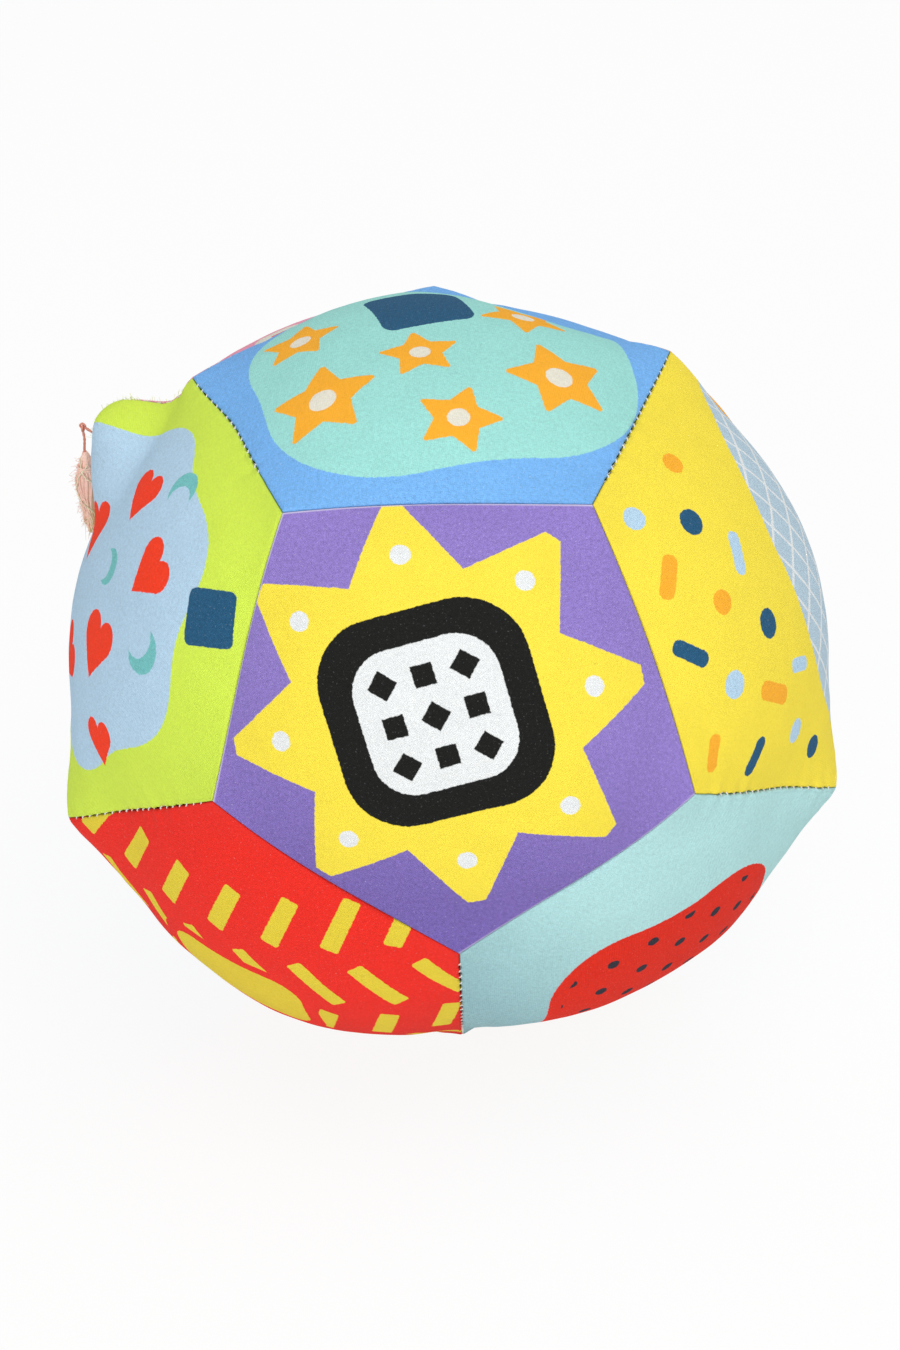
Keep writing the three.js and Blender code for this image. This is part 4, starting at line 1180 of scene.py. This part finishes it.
def stuffing_half(name, side, material):
    """Half of the fibrefill, with grooves for the seam allowances and a pocket for the rattle."""
    circle = circle_of(240)
    lowest = FLOOR + CLOTH_THICKNESS + STUFFING_GAP
    under_cloth = CLOTH_THICKNESS + STUFFING_GAP + 0.5
    rings = []
    for elevation in np.radians(np.linspace(89, 0, 60)):
        units = circle * math.cos(elevation) + [0, 0, side * math.sin(elevation)]
        cosines = -np.sort(-(units @ ALL_NORMALS.T), axis=-1)
        seam_distance = (cosines[:, 0] - cosines[:, 1]) * BALL_RADIUS / 1.05
        groove = np.clip((GROOVE_REACH - seam_distance) / 1.4, 0, 1)
        pull = sum(pull_height(pull, units) for pull in PULLS)
        uneven = slow_noise(units, 6, 0) + 0.5 * slow_noise(units, 15, 0)
        inset = under_cloth + 0.45 * uneven + groove * GROOVE_DEPTH
        points = sewn(units) * (skin_radius(units) - pull - inset)[:, None]
        points[:, 2] = side * np.maximum(side * points[:, 2], STUFFING_GAP / 2)
        points[:, 2] = np.maximum(points[:, 2], lowest)
        rings.append(points)
    pocket_radius = RATTLE_DIAMETER / 2 + STUFFING_GAP
    pocket_top = RATTLE_HEIGHT / 2 + STUFFING_GAP
    edge = rings[-1]
    for share in np.linspace(0.1, 1, 9):
        level = mix(edge, circle * pocket_radius, share)
        dimples = np.array([abs(noise.noise(Vector(at) * 0.25)) for at in level])
        level[:, 2] = side * (STUFFING_GAP / 2 + 0.8 * dimples * math.sin(share * math.pi))
        rings.append(level)
    pocket = [
        (pocket_radius, pocket_top - RATTLE_CHAMFER),
        (pocket_radius - RATTLE_CHAMFER, pocket_top),
        (pocket_radius * 0.4, pocket_top),
    ]
    rings += [circle * radius + [0, 0, side * height] for radius, height in pocket]
    first = sewn(np.array([[0, 0, float(side)]]))
    top = first * (skin_radius(first) - under_cloth)[:, None]
    top[:, 2] = np.maximum(top[:, 2], lowest)
    points = np.concatenate([*rings, top, [[0, 0, side * pocket_top]]])
    shape = points, ring_faces(len(rings), len(circle), side < 0)
    node = name.replace("fill", "stuffing")
    add_piece(name, shape, material, "ball", node)


def lathe(profile):
    """(points, faces) of a turned form; its profile runs from axis to axis."""
    circle = circle_of(72)
    rings = [circle * radius + [0, 0, height] for radius, height in profile[1:-1]]
    ends = [[0, 0, profile[0][1]], [0, 0, profile[-1][1]]]
    return np.concatenate([*rings, ends]), ring_faces(len(rings), len(circle), flipped=True)


def rounded(profile, radius, steps=4):
    """A profile with each corner but its ends turned into a small arc."""
    path = [profile[0]]
    profile = np.array(profile, float)
    for before, at, after in zip(profile, profile[1:], profile[2:]):
        to_before, to_after = before - at, after - at
        cut = min(radius, np.linalg.norm(to_before) / 2.2, np.linalg.norm(to_after) / 2.2)
        start, end = at + unit(to_before) * cut, at + unit(to_after) * cut
        for t in np.linspace(0, 1, steps + 1):
            path.append(tuple((1 - t) ** 2 * start + 2 * t * (1 - t) * at + t**2 * end))
    return [*path, tuple(profile[-1])]


def rattle():
    radius, top = RATTLE_DIAMETER / 2, RATTLE_HEIGHT / 2
    inside, rim = radius - RATTLE_WALL, top - CAP_HEIGHT
    floor = -top + RATTLE_WALL
    chamfer = RATTLE_CHAMFER * (1 - RATTLE_WALL / radius)
    cup = [
        (0, -top), (radius - RATTLE_CHAMFER, -top), (radius, -top + RATTLE_CHAMFER),
        (radius, rim - CAP_CLEARANCE), (inside, rim - CAP_CLEARANCE), (inside, floor + chamfer),
        (inside - chamfer, floor), (0, floor),
    ]
    outer, inner = inside - CAP_CLEARANCE, inside - CAP_CLEARANCE - RATTLE_WALL
    ceiling = top - RATTLE_WALL
    cap = [
        (0, ceiling), (inner - RATTLE_CHAMFER, ceiling), (inner, ceiling - RATTLE_CHAMFER),
        (inner, rim - CAP_SPIGOT_DEPTH), (outer, rim - CAP_SPIGOT_DEPTH), (outer, rim),
        (radius, rim), (radius, top - RATTLE_CHAMFER), (radius - RATTLE_CHAMFER, top), (0, top),
    ]
    shell = plastic("rattle_shell", (222, 226, 228), (206, 212, 216), 0.38)
    for name, profile in (("rattle_cup", cup), ("rattle_cap", cap)):
        shape = lathe(rounded(profile, SHELL_ROUNDING))
        add_piece(name + "_shell", shape, shell, "ball", name)
    bead = plastic("rattle_bead", (84, 102, 116), (104, 126, 142), 0.2)
    for i in range(1, BEADS + 1):
        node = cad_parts[f"rattle_bead_{i}"]
        node.data.materials.clear()
        node.data.materials.append(bead)
        node.modifiers.new("round", "SUBSURF").render_levels = 2


for seed, panel_name in enumerate(PANELS):
    panel(panel_name, seed)
all_stitches()
tassel()
frayed_corner()
wisps_and_clumps = [(900, 5, 0.75, 0.6, 1), (130, 3, 0.5, 0.5, 1)]
finish = {"roughness": 0.95, "sheen": 0.4, "specular": 0.1}
fill = mottled("fibrefill", (214, 212, 206), (250, 249, 246), wisps_and_clumps, 0, 0.8, **finish)
stuffing_half("fill_lower", -1, fill)
stuffing_half("fill_upper", 1, fill)
rattle()


# Stage: a plain pale floor, soft light and the photograph's camera
CAMERA_DISTANCE = 768
CAMERA_ELEVATION = RING_ELEVATION + 8
CAMERA_ROLL = -2.2
LENS, SENSOR_WIDTH = 103.2, 36
IMAGE_WIDTH, IMAGE_HEIGHT = 900, 1350
BALL_CENTRE_PIXEL = (448.5, 668.4)
WORLD_LIGHT = 0.56
FLOOR_SIZE, FLOOR_COLOUR, FLOOR_WHITENESS = 3, (0.9, 0.9, 0.9, 1), 0.9
BALL_CENTRE = Vector((0, 0, CENTRE_HEIGHT * MM))


def seen_directly(tree):
    """1 for the camera and for gloss and glass, 0 for light that falls on the object."""
    path = add_node(tree, "LightPath")
    seen = Field(tree, path.outputs["Is Camera Ray"]).either(path.outputs["Is Glossy Ray"])
    return seen.either(path.outputs["Is Transmission Ray"])


def add_floor():
    material = bpy.data.materials.new("floor")
    material.use_nodes = True
    tree = material.node_tree
    tree.nodes.clear()
    diffuse = add_node(tree, "BsdfDiffuse", FLOOR_COLOUR).outputs[0]
    white = add_node(tree, "Emission").outputs[0]
    share = seen_directly(tree) * FLOOR_WHITENESS
    both = add_node(tree, "MixShader", share, diffuse, white)
    add_node(tree, "OutputMaterial", both.outputs[0])
    corners = [(x * FLOOR_SIZE, y * FLOOR_SIZE, 0) for x, y in ((-1, -1), (1, -1), (1, 1), (-1, 1))]
    mesh_object("floor", corners, [(0, 1, 2, 3)], material)


def add_lamp(name, at, size, energy):
    lamp = bpy.data.lights.new(name, "AREA")
    lamp.shape = "DISK"
    lamp.size = size
    lamp.energy = energy
    placed = in_scene(bpy.data.objects.new(name, lamp))
    placed.location = at
    placed.rotation_euler = (BALL_CENTRE - Vector(at)).to_track_quat("-Z", "Y").to_euler()


def add_light():
    world = bpy.data.worlds.new("world")
    bpy.context.scene.world = world
    world.use_nodes = True
    tree = world.node_tree
    background = tree.nodes["Background"]
    background.inputs["Color"].default_value = (1, 1, 1, 1)
    strength = seen_directly(tree) * (1 - WORLD_LIGHT) + WORLD_LIGHT
    join(tree, strength, background.inputs["Strength"])
    add_lamp("overhead", (0.35, -0.3, 1.1), 1.2, 6.5)
    add_lamp("front_fill", (-0.4, -1.15, 0.25), 1.4, 7.2)


def add_camera():
    data = bpy.data.cameras.new("camera")
    data.lens, data.sensor_width = LENS, SENSOR_WIDTH
    data.clip_start, data.clip_end = 0.05, 20
    data.shift_x = (IMAGE_WIDTH / 2 - BALL_CENTRE_PIXEL[0]) / IMAGE_HEIGHT
    data.shift_y = (BALL_CENTRE_PIXEL[1] - IMAGE_HEIGHT / 2) / IMAGE_HEIGHT
    camera = in_scene(bpy.data.objects.new("camera", data))
    back = Vector(direction(0, CAMERA_ELEVATION).tolist())
    camera.location = BALL_CENTRE + back * CAMERA_DISTANCE * MM
    rotation = (-back).to_track_quat("-Z", "Y").to_matrix()
    roll = Matrix.Rotation(math.radians(CAMERA_ROLL), 3, "Z")
    camera.rotation_euler = (rotation @ roll).to_euler()
    bpy.context.scene.camera = camera


add_floor()
add_light()
add_camera()
bpy.context.scene.view_settings.view_transform = "Standard"
